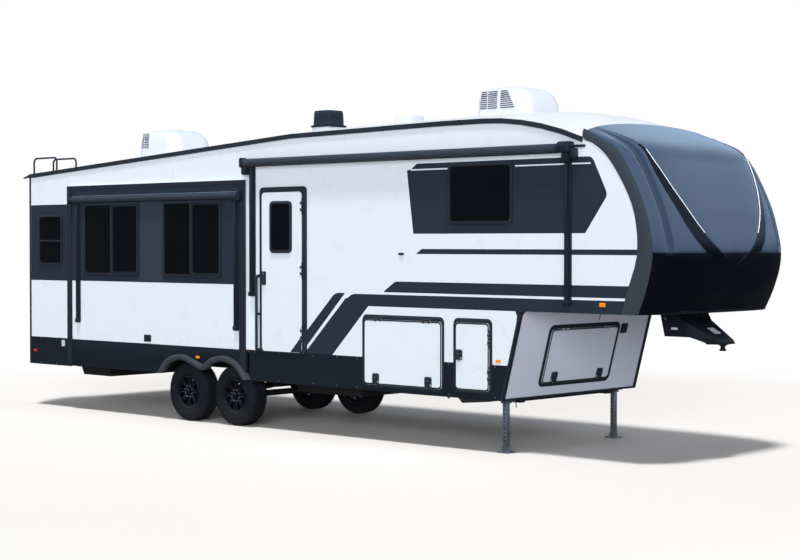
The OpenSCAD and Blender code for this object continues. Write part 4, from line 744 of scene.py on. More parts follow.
# Vent in the right slide's face: a dark grille behind a frame, with the fan behind it.
vent_back = [stand(flat([rounded(2.628, 2.752, 0.999, 1.081, 0.006)], 0.0035, 0.001), right, slide_face)]
fit("vent_back", vent_back, "slide_right", black_moulding)

# Amber lamp on the right slide's skirt: a moulded lens, screwed on.
amber = finish("amber", (0.90, 0.26, 0.015), 0.15, vary=0.05, patch=30, grain=900, bump=0.2,
               Emission_Color=(1.0, 0.30, 0.02, 1), Emission_Strength=0.12)
dress(amber, "marker_lamps")
red_lens = finish("red_lens", (0.62, 0.02, 0.02), 0.15, vary=0.05, patch=30, grain=900, bump=0.2)


def lamp_lens(x0, x1, z0, z1, depth, ribs):
    """A ribbed lens over a base, for one side lamp"""
    forms = [flat([rounded(x0, x1, z0, z1, min(x1 - x0, z1 - z0) * 0.4)], depth, depth * 0.4, 3)]
    for k in range(ribs):
        x = x0 + (x1 - x0) * (k + 1) / (ribs + 1)
        forms.append(flat([rounded(x - 0.0012, x + 0.0012, z0 + 0.006, z1 - 0.006, 0.001, 1)], depth + 0.0012, 0.0004))
    return forms


slide_lamps = []
for x in (3.700,):
    slide_lamps += [stand(m, right, slide_face) for m in lamp_lens(x - 0.035, x + 0.035, 0.820, 0.852, 0.012, 7)]
fit("slide_lamp", slide_lamps, "slide_right", amber)

# Windows: dark privacy glass in black aluminium frames with rounded corners. A bead of
# rubber seals the glass, and a sash bar divides the sliding ones.
dark_glass = finish("dark_glass", (0.0042, 0.0050, 0.0068), 0.05, vary=0.2, patch=1.2, rough_vary=0.015,
                    grain=1.2, bump=0.02, depth=0.002, Specular_IOR_Level=0.16)
dress(dark_glass, "window_panes", "slide_right_panes", "slide_left_panes")
frame_paint = finish("frame_paint", (0.021, 0.025, 0.036), 0.38, vary=0.1, patch=5, grain=500, bump=0.12,
                     Specular_IOR_Level=0.3)
rubber = finish("rubber", (0.010, 0.010, 0.011), 0.7, vary=0.15, patch=8, grain=600, bump=0.2, Specular_IOR_Level=0.25)
dress(frame_paint, "window_frames", "slide_right_frames", "slide_left_frames")
dress(dark_glass, "entry_pane", "bed_slide_window")
flange_w = 0.032
flange_out = 0.014


def window_beads(place, wall, face, bars=(), body="root", name="beads", rim=flange_w, look=None, sashes=()):
    """The raised rim of a window's frame, its rubber seal, and its sash bars"""
    x0, x1, z0, z1 = place
    rim_form = [stand(flat([rounded(x0 - 0.001, x1 + 0.001, z0 - 0.001, z1 + 0.001, window_r, 8),
                            rounded(x0 + rim, x1 - rim, z0 + rim, z1 - rim, window_r - rim / 2, 8)], 0.006, 0.0026, 2),
                      wall, face + flange_out - 0.001)]
    for bar, horizontal in bars:
        ends = (x0 + rim * 0.6, x1 - rim * 0.6) if horizontal else (z0 + rim * 0.6, z1 - rim * 0.6)
        box_of = (rounded(ends[0], ends[1], bar - 0.012, bar + 0.012, 0.003, 2) if horizontal
                  else rounded(bar - 0.017, bar + 0.017, ends[0], ends[1], 0.003, 2))
        rim_form.append(stand(flat([box_of], 0.016, 0.003, 2), wall, face + 0.001))
    for s0, s1 in sashes:
        rim_form.append(stand(flat([rounded(s0, s1, z0 + rim, z1 - rim, 0.03), rounded(s0 + 0.02, s1 - 0.02, z0 + rim + 0.02, z1 - rim - 0.02, 0.02)],
                                   0.007, 0.002), wall, face + 0.0005))
    fit(name + "_rims", rim_form, body, look or frame_paint)
    seal = [stand(flat([rounded(x0 + rim - 0.004, x1 - rim + 0.004, z0 + rim - 0.004, z1 - rim + 0.004, window_r - rim / 2, 8),
                        rounded(x0 + rim + 0.007, x1 - rim - 0.007, z0 + rim + 0.007, z1 - rim - 0.007, window_r - rim / 2, 8)],
                       0.006, 0.002, 2), wall, face + 0.0015)]
    fit(name + "_seals", seal, body, rubber)


window_beads(bed_window, right, 0, [], "root", "bed_window_right")
for wall, name in ((right, "right"), (left, "left")):
    window_beads(rear_window, wall, 0, [(2.312, True)], "root", "rear_window_" + name)
rear_glass_y = wall_y - 0.47 + 0.015
window_beads((-rear_glass_y, rear_glass_y, 1.971, 2.676), back, 0, [], "root", "back_window")
window_beads(bed_slide_window, left, slide_face, [], "bed_slide", "bed_slide_window")
for k, (place, bar) in enumerate(zip(slide_windows, (1.930, 3.570))):
    window_beads(place, right, slide_face, [(bar, False)], "slide_right", f"slide_window_{k}",
                 sashes=[(bar + 0.012, place[1] - flange_w)])
window_beads(kitchen_windows[0], left, slide_face, [], "slide_left", "kitchen_window_0")
window_beads(kitchen_windows[1], left, slide_face, [(3.570, False)], "slide_left", "kitchen_window_1",
             sashes=[(3.582, kitchen_windows[1][1] - flange_w)])
entry_window = (5.022, 5.404, 2.162, 2.788)
window_beads(entry_window, right, leaf_face, [], "entry_leaf", "entry_window", look=black_moulding)

# Doors: white leaves in black moulded frames, with a bulb seal in the gap. The hinges
# are black, with barrels round their pins, and each leaf has paddle latches or a lever.
door_frames = {
    # outline of the frame, then its width at the rear, the front, the bottom and the top
    "entry": (4.824, 5.648, 0.950, 2.960, 0.043, 0.081, 0.019, 0.064),
    "storage": (6.580, 7.830, 0.635, 1.440, 0.024, 0.024, 0.024, 0.030),
    "locker": (7.980, 8.524, 0.650, 1.440, 0.024, 0.030, 0.024, 0.024),
    "front": (-0.635, 0.635, 0.135, 0.815, 0.024, 0.024, 0.024, 0.030),
}
door_r = 0.060
frame_out = 0.012


def leaf_place(d):
    """The leaf's rear, front, bottom and top inside its frame"""
    return d[0] + d[4], d[1] - d[5], d[2] + d[6], d[3] - d[7]


def frame_bead(d, wall):
    """The raised bead along a door frame's inner and outer edge"""
    x0, x1, z0, z1 = leaf_place(d)
    g, r = 0.006, door_r - d[6] + 0.016
    lift = frame_out - 0.001
    return [stand(flat([rounded(d[0], d[1], d[2], d[3], door_r, 8), rounded(d[0] + 0.008, d[1] - 0.008, d[2] + 0.007, d[3] - 0.008, door_r - 0.007, 8)],
                       0.0045, 0.0018, 2), wall, lift),
            stand(flat([rounded(x0 - g - 0.006, x1 + g + 0.006, z0 - g - 0.006, z1 + g + 0.006, r + 0.006, 8),
                        rounded(x0 - g, x1 + g, z0 - g, z1 + g, r, 8)], 0.0045, 0.0018, 2), wall, lift)]


def frame_lap(d, wall, sides, foot, head):
    """The frame's thin outer lip, which laps the wall's cut edge"""
    return [stand(flat([rounded(d[0] - sides, d[1] + sides, d[2] - foot, d[3] + head, door_r + sides, 8),
                        rounded(d[0] + 0.004, d[1] - 0.004, d[2] + 0.004, d[3] - 0.004, door_r - 0.004, 8)], 0.0045, 0.0015), wall)]


door_beads = (frame_lap(door_frames["storage"], right, 0.006, 0.006, 0.022) + frame_lap(door_frames["locker"], right, 0.006, 0.006, 0.022)
              + frame_lap(door_frames["storage"], left, 0.006, 0.006, 0.022) + frame_lap(door_frames["front"], front, 0.016, 0.016, 0.016)
              + frame_bead(door_frames["entry"], right) + frame_bead(door_frames["storage"], right)
              + frame_bead(door_frames["locker"], right) + frame_bead(door_frames["storage"], left)
              + frame_bead(door_frames["front"], front))
fit("door_frame_beads", door_beads, "root", black_moulding)

hinge_in, hinge_out, hinge_l = 0.014, 0.020, 0.200
barrel_r = 0.0078


def hinge_barrels(x, z, along_z, wall, half):
    """Barrels of one hinge on its pin: the frame's (half 0) or the leaf's (half 1), with its strap"""
    forms, part = [], hinge_l / 5
    for k in range(5):
        if k % 2 != half:
            continue
        a, b = k * part + 0.0006 - hinge_l / 2, (k + 1) * part - 0.0006 - hinge_l / 2
        ring = [(0, a), (barrel_r * 0.8, a), (barrel_r, a + 0.001), (barrel_r, b - 0.001), (barrel_r * 0.8, b), (0, b)]
        forms.append(lathe(ring, (0, 0, 0), "X", 20))
        if half:
            plate = flat([rounded(a, b, -0.038, 0.0, 0.004, 3)], 0.0035, 0.001)
            plate.transform(Matrix.Translation((0, 0, -0.0035)))
            screw = lathe([(0, 0), (0.0055, 0), (0.005, 0.0016), (0, 0.0026)], ((a + b) / 2, -0.026, -0.0002), "Z", 12)
            forms += [plate, screw]
    for form in forms:
        if along_z:
            form.transform(Matrix(((0, 1, 0, 0), (1, 0, 0, 0), (0, 0, 1, 0), (0, 0, 0, 1))))
        form.transform(Matrix.Translation((x, z, hinge_out)))
        stand(form, wall)
    return forms


def side_hinges(d, wall, half, places):
    x = leaf_place(d)[1] + hinge_in
    return [m for k in places for m in hinge_barrels(x, d[2] + (d[3] - d[2]) * k, True, wall, half)]


def head_hinges(d, wall, half):
    z = leaf_place(d)[3] + hinge_in
    return [m for k in (0.2, 0.8) for m in hinge_barrels(d[0] + (d[1] - d[0]) * k, z, False, wall, half)]


entry_hinges, locker_hinges = (0.12, 0.5, 0.88), (0.25, 0.75)
fit("frame_hinges", side_hinges(door_frames["entry"], right, 0, entry_hinges)
    + side_hinges(door_frames["locker"], right, 0, locker_hinges) + head_hinges(door_frames["storage"], right, 0)
    + head_hinges(door_frames["storage"], left, 0) + head_hinges(door_frames["front"], front, 0),
    "root", black_moulding)
fit("entry_leaf_hinges", side_hinges(door_frames["entry"], right, 1, entry_hinges), "entry_leaf", black_moulding)
fit("locker_leaf_hinges", side_hinges(door_frames["locker"], right, 1, locker_hinges), "locker_leaf_right",
    black_moulding)


def paddle_latch(x, z, wall):
    """A paddle latch: a dished plate, the paddle over it, and a lip at its foot"""
    plate = stand(flat([rounded(x - 0.054, x + 0.054, z - 0.044, z + 0.072, 0.022)], 0.009, 0.004, 2), wall, leaf_face)
    paddle = stand(flat([rounded(x - 0.047, x + 0.047, z - 0.020, z + 0.066, 0.020)], 0.018, 0.006, 3), wall, leaf_face)
    lip = stand(flat([rounded(x - 0.036, x + 0.036, z - 0.040, z - 0.012, 0.009)], 0.024, 0.004, 2), wall, leaf_face)
    return [plate, paddle, lip]


def latch_lock(x, z, wall):
    lock = lathe([(0, 0), (0.0095, 0), (0.0095, 0.0165), (0.008, 0.0185), (0.0035, 0.0185), (0.003, 0.0165), (0, 0.0165)],
                 (0, 0, 0), "Z", 20)
    lock.transform(Matrix.Translation((x, z + 0.026, 0)))
    strike = flat([rounded(x - 0.020, x + 0.020, z - 0.060, z - 0.050, 0.003)], 0.004, 0.0015)
    return [stand(lock, wall, leaf_face), stand(strike, wall, leaf_face)]


for name, wall, body, key in (("storage_right", right, "storage_leaf_right", "storage"), ("storage_left", left, "storage_leaf_left", "storage"),
                              ("storage_front", front, "storage_leaf_front", "front")):
    d = door_frames[key]
    fit(name + "_hinges", head_hinges(d, wall, 1), body, black_moulding)
    spots = [(x, d[2] + d[6] + 0.060) for x in (d[0] + 0.220, d[1] - 0.220)]
    fit(name + "_latches", [m for x, z in spots for m in paddle_latch(x, z, wall)], body, black_moulding)
    fit(name + "_locks", [m for x, z in spots for m in latch_lock(x, z, wall)], body, zinc)
d = door_frames["locker"]
spot = (d[0] + d[4] + 0.060, (d[2] + d[3]) / 2)
fit("locker_latch", paddle_latch(*spot, right), "locker_leaf_right", black_moulding)
fit("locker_lock", latch_lock(*spot, right), "locker_leaf_right", zinc)
edging_w = 0.018
for name, wall, body, key in (("storage_right", right, "storage_leaf_right", "storage"), ("storage_left", left, "storage_leaf_left", "storage"),
                              ("storage_front", front, "storage_leaf_front", "front"), ("locker", right, "locker_leaf_right", "locker")):
    x0, x1, z0, z1 = leaf_place(door_frames[key])
    r = door_r - door_frames[key][6] + 0.010
    edging = flat([rounded(x0 + 0.001, x1 - 0.001, z0 + 0.001, z1 - 0.001, r, 8),
                   rounded(x0 + edging_w, x1 - edging_w, z0 + edging_w, z1 - edging_w, r - edging_w * 0.6, 8)], 0.003, 0.0012)
    fit(name + "_edging", [stand(edging, wall, leaf_face - 0.0005)], body, black_moulding)
lever_x = 4.824 + 0.043 + 0.045
lever = [stand(flat([rounded(lever_x - 0.034, lever_x + 0.034, 1.772, 1.938, 0.014)], 0.018, 0.005, 3), right, leaf_face),
         stand(flat([rounded(lever_x - 0.024, lever_x + 0.024, 1.790, 1.880, 0.010)], 0.030, 0.006, 3), right, leaf_face)]
fit("entry_lever", lever, "entry_leaf", black_moulding)
deadbolt = lathe([(0, 0), (0.013, 0), (0.013, 0.021), (0.011, 0.023), (0, 0.023)], (0, 0, 0), "Z", 24)
deadbolt.transform(Matrix.Translation((lever_x, 1.908, 0)))
fit("entry_lock", [stand(deadbolt, right, leaf_face)], "entry_leaf", zinc)

# Grab handle beside the entry: a bent black tube on three brackets, beside a hook and
# a dim porch light further forward.
def bent(points, r, n=6):
    """A path with its corners rounded to r"""
    spots = [Vector(points[0])]
    for a, b, c in zip(points, points[1:], points[2:]):
        a, b, c = Vector(a), Vector(b), Vector(c)
        s, e = b + (a - b).normalized() * r, b + (c - b).normalized() * r
        for k in range(n + 1):
            t = k / n
            spots.append(s * (1 - t) ** 2 + b * 2 * t * (1 - t) + e * t ** 2)
    return spots + [Vector(points[-1])]


handle_x = 4.800
handle_y = -wall_y - 0.048
handle = [tube(bent([(handle_x, -wall_y, 1.880), (handle_x, handle_y, 1.880), (handle_x, handle_y, 0.975),
                     (handle_x, -wall_y, 0.975)], 0.03), 0.0165, 4)]
for z in (1.880, 0.975):
    handle.append(lathe([(0, 0), (0.022, 0), (0.0215, -0.006), (0.018, -0.008), (0, -0.008)], (handle_x, -wall_y, z), "Y", 24))
handle.append(block((handle_x - 0.0095, handle_y, 1.40), (handle_x + 0.0095, -wall_y, 1.43), 0.003))
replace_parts(fit("handle_tube", handle, "root", black_moulding), "grab_handle")
hook_y, hook_up = 0.22, 0.815
front_bits = [stand(flat([rounded(0.672, 0.790, 0.690, 0.806, 0.008)], 0.012, 0.003), front),
              stand(flat([rounded(hook_y - 0.004, hook_y + 0.004, 0.86, 0.985, 0.002, 2)], 0.006, 0.002), front)]
fit("front_fittings", front_bits, "root", black_moulding)
porch = [stand(flat([rounded(7.15, 7.23, 2.146, 2.172, 0.010)], 0.018, 0.005, 2), right, 0.0)]
fit("porch_light", porch, "root", frame_paint)

# Wheel arches: each slide's skirt is cut out over its two wheels, and a bowed plastic
# flare runs round the double arch, screwed on from inside, in a paler grey.
arch = [(-0.905, 0.600), (-0.722, 0.790), (-0.452, 0.858), (-0.240, 0.811), (-0.018, 0.748), (0.150, 0.836),
        (0.374, 0.873), (0.590, 0.817), (0.740, 0.702), (0.822, 0.600)]
flare_grey = finish("flare_grey", (0.050, 0.056, 0.068), 0.46, vary=0.12, patch=4, grain=600, bump=0.25,
                    dust=(road_dust, 0.9, 0.2), Specular_IOR_Level=0.3)


def curved(points, per=6):
    """A smooth run through the points"""
    spots = []
    for k in range(len(points) - 1):
        a, b, c, d = (Vector(points[max(0, min(len(points) - 1, k + j))]) for j in (-1, 0, 1, 2))
        for step in range(per):
            f = step / per
            spots.append(0.5 * (2 * b + (c - a) * f + (2 * a - 5 * b + 4 * c - d) * f ** 2 + (3 * b - a - 3 * c + d) * f ** 3))
    return spots + [Vector(points[-1])]


arch_line = curved([Vector((3.842 + x, z)) for x, z in arch])
cut_in = 0.045
cut_line = []
for k, spot in enumerate(arch_line):
    way = (arch_line[min(k + 1, len(arch_line) - 1)] - arch_line[max(k - 1, 0)]).normalized()
    cut_line.append((spot.x + way.y * cut_in, max(end_foot, spot.y - way.x * cut_in)))
cut_line = [spot for k, spot in enumerate(cut_line) if k == 0 or spot[0] > cut_line[k - 1][0] + 0.002]
slide_panel = ([(slide_x0, sill_z), (slide_x0, end_foot)] + [spot for spot in cut_line if spot[0] < slide_x1]
               + [(slide_x1, end_foot), (slide_x1, sill_z)])
panel_t = 0.025
for wall, name in ((right, "right"), (left, "left")):
    panel = [stand(flat([slide_panel], panel_t, 0.003), wall, slide_face - panel_t)]
    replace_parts(fit("skirt_panel_" + name, panel, "slide_" + name, skirt_paint), f"slide_{name}_skirt")


def flare_form(wall):
    line = arch_line
    section = [(0.004, -0.030), (0.004, 0.046), (-0.003, 0.0545), (-0.012, 0.0585), (-0.024, 0.0598), (-0.042, 0.0585),
               (-0.058, 0.053), (-0.067, 0.044), (-0.070, 0.030), (-0.070, -0.020), (-0.066, -0.028)]
    bm = bmesh.new()
    rows = []
    for k, spot in enumerate(line):
        way = (line[min(k + 1, len(line) - 1)] - line[max(k - 1, 0)]).normalized()
        side_way = Vector((-way.y, way.x))
        rows.append([bm.verts.new((spot.x + side_way.x * a, max(0.6, spot.y + side_way.y * a), b)) for a, b in section])
    for low, high in zip(rows, rows[1:]):
        for j in range(len(section)):
            bm.faces.new((low[j], low[(j + 1) % len(section)], high[(j + 1) % len(section)], high[j]))
    bm.faces.new(rows[0])
    bm.faces.new(rows[-1][::-1])
    mesh = bpy.data.meshes.new("flare")
    bm.to_mesh(mesh)
    bm.free()
    return stand(mesh, wall, slide_face)


fit("flare_right", [flare_form(right)], "slide_right", flare_grey, 40)
fit("flare_left", [flare_form(left)], "slide_left", flare_grey, 40)

# Awnings: fabric rolled tight on an aluminium tube between two arms. The arms are
# powder-coated channels with a gas strut inside, pinned to a foot bracket on the wall.
awning_black = finish("awning_black", (0.014, 0.019, 0.030), 0.36, vary=0.1, patch=4, grain=300, bump=0.1,
                      Specular_IOR_Level=0.3)
rolled_fabric = finish("rolled_fabric", (0.036, 0.047, 0.062), 0.6, vary=0.12, patch=14, grain=900, bump=0.5,
                       depth=0.0008, Specular_IOR_Level=0.3)


def awning_roll(x0, x1, out, z, r, base):
    """Rolled fabric with its free edge and hem bar, between two turned end caps"""
    y = -wall_y - base - out
    turns = []
    for k in range(41):
        a = math.radians(60 + 360 * k / 40)
        rr = r - 0.0025 + 0.0022 * k / 40
        turns.append((rr * math.cos(a), rr * math.sin(a)))
    bm = bmesh.new()
    rows = [[bm.verts.new((x, y + a, z + b)) for a, b in turns] for x in (x0 + 0.02, x1 - 0.02)]
    for j in range(len(turns)):
        n = (j + 1) % len(turns)
        bm.faces.new((rows[0][j], rows[0][n], rows[1][n], rows[1][j]))
    bm.faces.new(rows[0])
    bm.faces.new(rows[1][::-1])
    roll = bpy.data.meshes.new("roll")
    bm.to_mesh(roll)
    bm.free()
    hem = block((x0 + 0.03, y - r * 0.2, z - r - 0.001), (x1 - 0.03, y + r * 0.25, z - r + 0.012), 0.003)
    caps = []
    for x, way in ((x0, 1), (x1, -1)):
        caps.append(lathe([(0, 0), (r * 0.5, 0), (r * 0.92, way * 0.006), (r, way * 0.014), (r, way * 0.040), (r * 0.9, way * 0.044), (0, way * 0.044)],
                          (x, y, z), "X", 36))
        caps.append(lathe([(0, -way * 0.004), (r * 0.22, -way * 0.004), (r * 0.26, 0), (0, 0)], (x, y, z), "X", 16))
    return [roll, hem], caps


def awning_arm(x, z0, z1, out, base, w=0.050):
    """An arm folded flat on the wall: its channel, the inner rafter, the strut and the feet"""
    wall = -wall_y - base
    parts = [block((x - w / 2, wall - 0.022, z0), (x + w / 2, wall, z1), 0.003),
             block((x - w / 2 - 0.004, wall - 0.006, z0 + 0.02), (x + w / 2 + 0.004, wall, z1 - 0.03), 0.002),
             block((x - 0.017, wall - out, z0 + 0.060), (x + 0.017, wall - 0.022, z1 - 0.02), 0.005),
             block((x - w / 2, wall - out, z0), (x + w / 2, wall - 0.022, z0 + 0.060), 0.006),
             block((x - w / 2 - 0.004, wall - 0.034, z1 - 0.05), (x + w / 2 + 0.004, wall, z1), 0.004),
             tube([(x + 0.0195, wall - out * 0.7, z0 + 0.10), (x + 0.0195, wall - out * 0.7, z0 + (z1 - z0) * 0.62)], 0.0055)]
    for z in (z0 + 0.03, z1 - 0.04):
        parts.append(lathe([(0, -0.006), (0.011, -0.006), (0.012, 0), (0, 0)], (x - 0.0, wall - out, z) if z < z0 + 0.1
                           else (x, wall - 0.034, z), "Y", 16))
    return parts


roll, caps = awning_roll(4.585, 9.500, 0.070, 3.264, 0.052, 0.0)
awning_parts = caps
for x in (4.702, 9.562):
    awning_parts += awning_arm(x, 1.630, 3.215, 0.062, 0.0, 0.074)
    awning_parts.append(block((x - 0.024, -wall_y - 0.070, 3.190), (x + 0.024, -wall_y - 0.022, 3.262), 0.005))
awning_parts += [block((9.486, -wall_y - 0.118, 3.215), (9.640, -wall_y, 3.332), 0.020, 4),
                 block((9.500, -wall_y - 0.122, 3.228), (9.600, -wall_y - 0.02, 3.320), 0.024, 4),
                 block((9.520, -wall_y - 0.088, 3.120), (9.612, -wall_y, 3.240), 0.014, 4),
                 block((9.630, -wall_y - 0.085, 3.150), (9.690, -wall_y, 3.262), 0.016, 4),
                 block((9.640, -wall_y - 0.060, 3.268), (9.800, -wall_y - 0.030, 3.294), 0.006),
                 block((4.556, -wall_y - 0.122, 3.206), (4.604, -wall_y - 0.012, 3.330), 0.022, 4),
                 block((4.575, -wall_y - 0.100, 3.118), (4.660, -wall_y, 3.240), 0.016, 4)]
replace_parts(fit("awning_arms", awning_parts, "root", awning_black), "awning")
fit("awning_fabric", roll, "root", rolled_fabric, 50)
roll, caps = awning_roll(1.062, 4.540, 0.038, 2.872, 0.041, slide_face)
slide_arms = caps
for x in (1.205, 4.443):
    slide_arms += awning_arm(x, 1.200, 2.840, 0.046, slide_face, 0.072)
    slide_arms.append(block((x - 0.022, -wall_y - slide_face - 0.040, 2.820), (x + 0.022, -wall_y - slide_face - 0.02, 2.872), 0.005))
slide_arms += [block((1.030, -wall_y - slide_face - 0.079, 2.815), (1.080, -wall_y - slide_face, 2.926), 0.020, 4),
               block((4.500, -wall_y - slide_face - 0.079, 2.800), (4.556, -wall_y - slide_face, 2.930), 0.022, 4),
               block((4.385, -wall_y - slide_face - 0.064, 2.795), (4.500, -wall_y - slide_face, 2.860), 0.016, 4)]
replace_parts(fit("slide_awning_arms", slide_arms, "slide_right", awning_black), "slide_right_awning")
fit("slide_awning_fabric", roll, "slide_right", rolled_fabric, 50)
# A thin pale zinc bar along the top of the roll: a painted highlight on the roll's top edge.
awning_top_highlight = [block((1.085, -wall_y - slide_face - 0.030, 2.911), (4.498, -wall_y - slide_face, 2.921), 0.003)]
fit("slide_awning_top_highlight", awning_top_highlight, "slide_right", zinc)

# Roof units: moulded white shrouds over the two air conditioners, with a bowed front
# and louvres cut in the rear part of each side, screwed down on a gasket.
unit_white = finish("unit_white", (0.78, 0.82, 0.90), 0.38, vary=0.03, patch=1.5, grain=400, bump=0.1)
slot_shadow = finish("slot_shadow", (0.035, 0.038, 0.045), 0.8, vary=0.2, patch=30)


def shroud(x0, length, half, low, top):
    """The shroud's skin: rounded across, straight up at the back and bowed at the front"""
    stations = []
    for k in range(37):
        t = k / 36
        x = x0 + length * t
        rise = min(1.0, (1 - (1 - min(1, t / 0.10)) ** 2.5) ** 0.4 if t < 0.10 else 1.0)
        if t > 0.52:
            q = (t - 0.52) / 0.48
            rise = max(0.0, 1 - q ** 2.6) ** (1 / 2.0)
        width = half * (1 - 0.05 * (1 - min(1, t / 0.08)) ** 2) * (1 - 0.34 * max(0, (t - 0.70) / 0.30) ** 2.4)
        stations.append((x, width, low + 0.05 + (top - low - 0.05) * rise))
    bm = bmesh.new()
    rows = []
    for x, width, crown in stations:
        row = []
        for j in range(41):
            a = math.pi * j / 40
            c, s = math.cos(a), math.sin(a)
            y = width * math.copysign(abs(c) ** 0.42, c)
            z = low + (crown - low) * s ** 0.34
            row.append(bm.verts.new((x, y, z)))
        rows.append(row)
    for a, b in zip(rows, rows[1:]):
        for j in range(40):
            bm.faces.new((a[j], a[j + 1], b[j + 1], b[j]))
        bm.faces.new((a[0], b[0], b[-1], a[-1]))
    bm.faces.new(rows[0])
    bm.faces.new(rows[-1][::-1])
    mesh = bpy.data.meshes.new("shroud")
    bm.to_mesh(mesh)
    bm.free()
    return mesh


aircons = [(1.373, 0.800, 3.400, 3.850), (7.562, 0.735, 3.705, 4.065)]
aircon_half = 0.35
shells, slots, blades = [], [], []
for x0, length, low, top in aircons:
    shells.append(shroud(x0, length, aircon_half, low, top))
    shells.append(block((x0 - 0.0, -aircon_half + 0.005, low - 0.01), (x0 + length, aircon_half - 0.005, low + 0.045), 0.01, 3))
    z0, z1 = max(low + 0.06, top - 0.255), top - 0.045
    for side in (-1, 1):
        face = wall_frame((1, 0, 0), up, (0, side, 0), (0, side * (aircon_half - 0.001), 0))
        groups = ((0.045, 0.150, 0.10), (0.165, 0.300, 0.0), (0.350, 0.560, -0.55)) if top > 4 else ((0.052, 0.108, 0.10), (0.120, 0.205, 0.0))
        for g0, g1, slope in [(x0 + g0, x0 + g1, slope) for g0, g1, slope in groups]:
            steps = 9
            for k in range(steps):
                z = z0 + (z1 - z0) * (k + 0.5) / steps
                shift = slope * (z - z0)
                a = g0 + max(0, shift)
                b = g1 + (min(0, shift) if slope < 0 else 0)
                lean_in = 0.012 * ((z - z0) / (z1 - z0)) ** 3
                # Each slot is a dark strip on the shroud's side: painted shade in the opening under its blade.
                slots.append(stand(flat([rounded(a, b, z - 0.0065, z + 0.0045, 0.003, 2)], 0.004, 0.001), face, 0.0 - lean_in))
                blades.append(stand(flat([rounded(a - 0.002, b + 0.002, z + 0.0045, z + 0.0085, 0.001, 1)], 0.008, 0.001), face, -lean_in))
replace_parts(fit("air_conditioner_shrouds", shells, "root", unit_white, 42), "air_conditioners")
fit("louvre_slots", slots, "root", slot_shadow)
fit("louvre_blades", blades, "root", unit_white)

# Roof vents: a black domed hood on a white curb over the bathroom, and a low white
# lid further forward.
hood_black = finish("hood_black", (0.010, 0.014, 0.024), 0.25, vary=0.15, patch=6, grain=300, bump=0.1)


def hood(x0, x1, half, z0, z1, taper, brim=1.07, r=0.045):
    """A moulded lid: a rounded square that draws in towards a crowned top"""
    cx = (x0 + x1) / 2
    levels = [(0.0, brim), (0.10, brim), (0.14, 1.01), (0.17, 1.0), (0.55, 1 - taper * 0.4), (0.80, 1 - taper * 0.7), (0.93, 1 - taper),
              (0.985, 1 - taper * 1.6), (1.0, 1 - taper * 2.6)]
    bm = bmesh.new()
    rows = []
    for level, scale in levels:
        outline = rounded(-(x1 - x0) / 2 * scale, (x1 - x0) / 2 * scale, -half * scale, half * scale, r * scale, 6)
        rows.append([bm.verts.new((cx + a, b, z0 + (z1 - z0) * level)) for a, b in outline])
    for a, b in zip(rows, rows[1:]):
        for j in range(len(a)):
            n = (j + 1) % len(a)
            bm.faces.new((a[j], a[n], b[n], b[j]))
    bm.faces.new(rows[0][::-1])
    bm.faces.new(rows[-1])
    mesh = bpy.data.meshes.new("hood")
    bm.to_mesh(mesh)
    bm.free()
    return mesh


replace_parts(fit("black_hood", [hood(4.625, 4.925, 0.150, 3.755, 3.966, 0.06, 1.17)], "root", hood_black, 40), "roof_vents")
white_vents = [block((4.625, -0.150, 3.62), (4.925, 0.150, 3.757), 0.008), hood(6.035, 6.315, 0.142, 3.700, 3.833, 0.04)]
fit("white_vents", white_vents, "root", unit_white, 40)

# Ladder on the rear wall: bent black tube with flat treads, and shoes on the wall.
ladder_y = (0.160 - wall_y, 0.490 - wall_y)
treads = []
for k in range(8):
    z = 1.0 + 0.3 * k
    treads.append(block((-0.132, ladder_y[0] + 0.012, z + 0.004), (-0.094, ladder_y[1] - 0.012, z + 0.0135), 0.003))
for y in ladder_y:
    for z in (0.960, 1.900, 3.000):
        treads.append(lathe([(0, -0.009), (0.016, -0.009), (0.027, -0.004), (0.027, 0), (0, 0)], (0, y, z), "X", 24))
fit("ladder_treads", treads, "root", black_moulding)

# Nose cap: one moulded shell in glossy dark slate, black below the seam. Two fins run
# down from the roof to a V on the nose, each over a black facet, with a strip lamp
# along it, and a soft flute runs behind each fin. The middle of each flute is painted
# a darker blue, as the shade in its hollow.
cap_blue = finish("cap_blue", (0.040, 0.060, 0.105), 0.12, vary=0.08, patch=1.1, rough_vary=0.03,
                  grain=1.6, bump=0.03, depth=0.006, Coat_Weight=0.6, Coat_Roughness=0.05, Specular_IOR_Level=0.5)
cap_black = finish("cap_black", (0.003, 0.004, 0.007), 0.12, vary=0.2, patch=1.5, rough_vary=0.03,
                   grain=2.0, bump=0.04, depth=0.006, Specular_IOR_Level=0.25)
# Darker blue for the middle of each flute: painted shade in the hollow.
cap_flute_shade = finish("cap_flute_shade", (0.022, 0.034, 0.064), 0.14, vary=0.08, patch=1.1, rough_vary=0.03,
                  grain=1.6, bump=0.03, depth=0.006, Coat_Weight=0.4, Coat_Roughness=0.05, Specular_IOR_Level=0.4)
roof_l = 9.740
roof_end = 3.3759
cap_square, cap_square_top = 3.5, 2.2
fin_h = 0.021


def side_arc(a):
    return 10.440 - 1.380 + 1.380 * math.cos(math.radians(a)), 2.200 + 1.380 * math.sin(math.radians(a))


def side_foot(k):
    return 10.230 + 0.210 * k, 1.556 + 0.644 * k


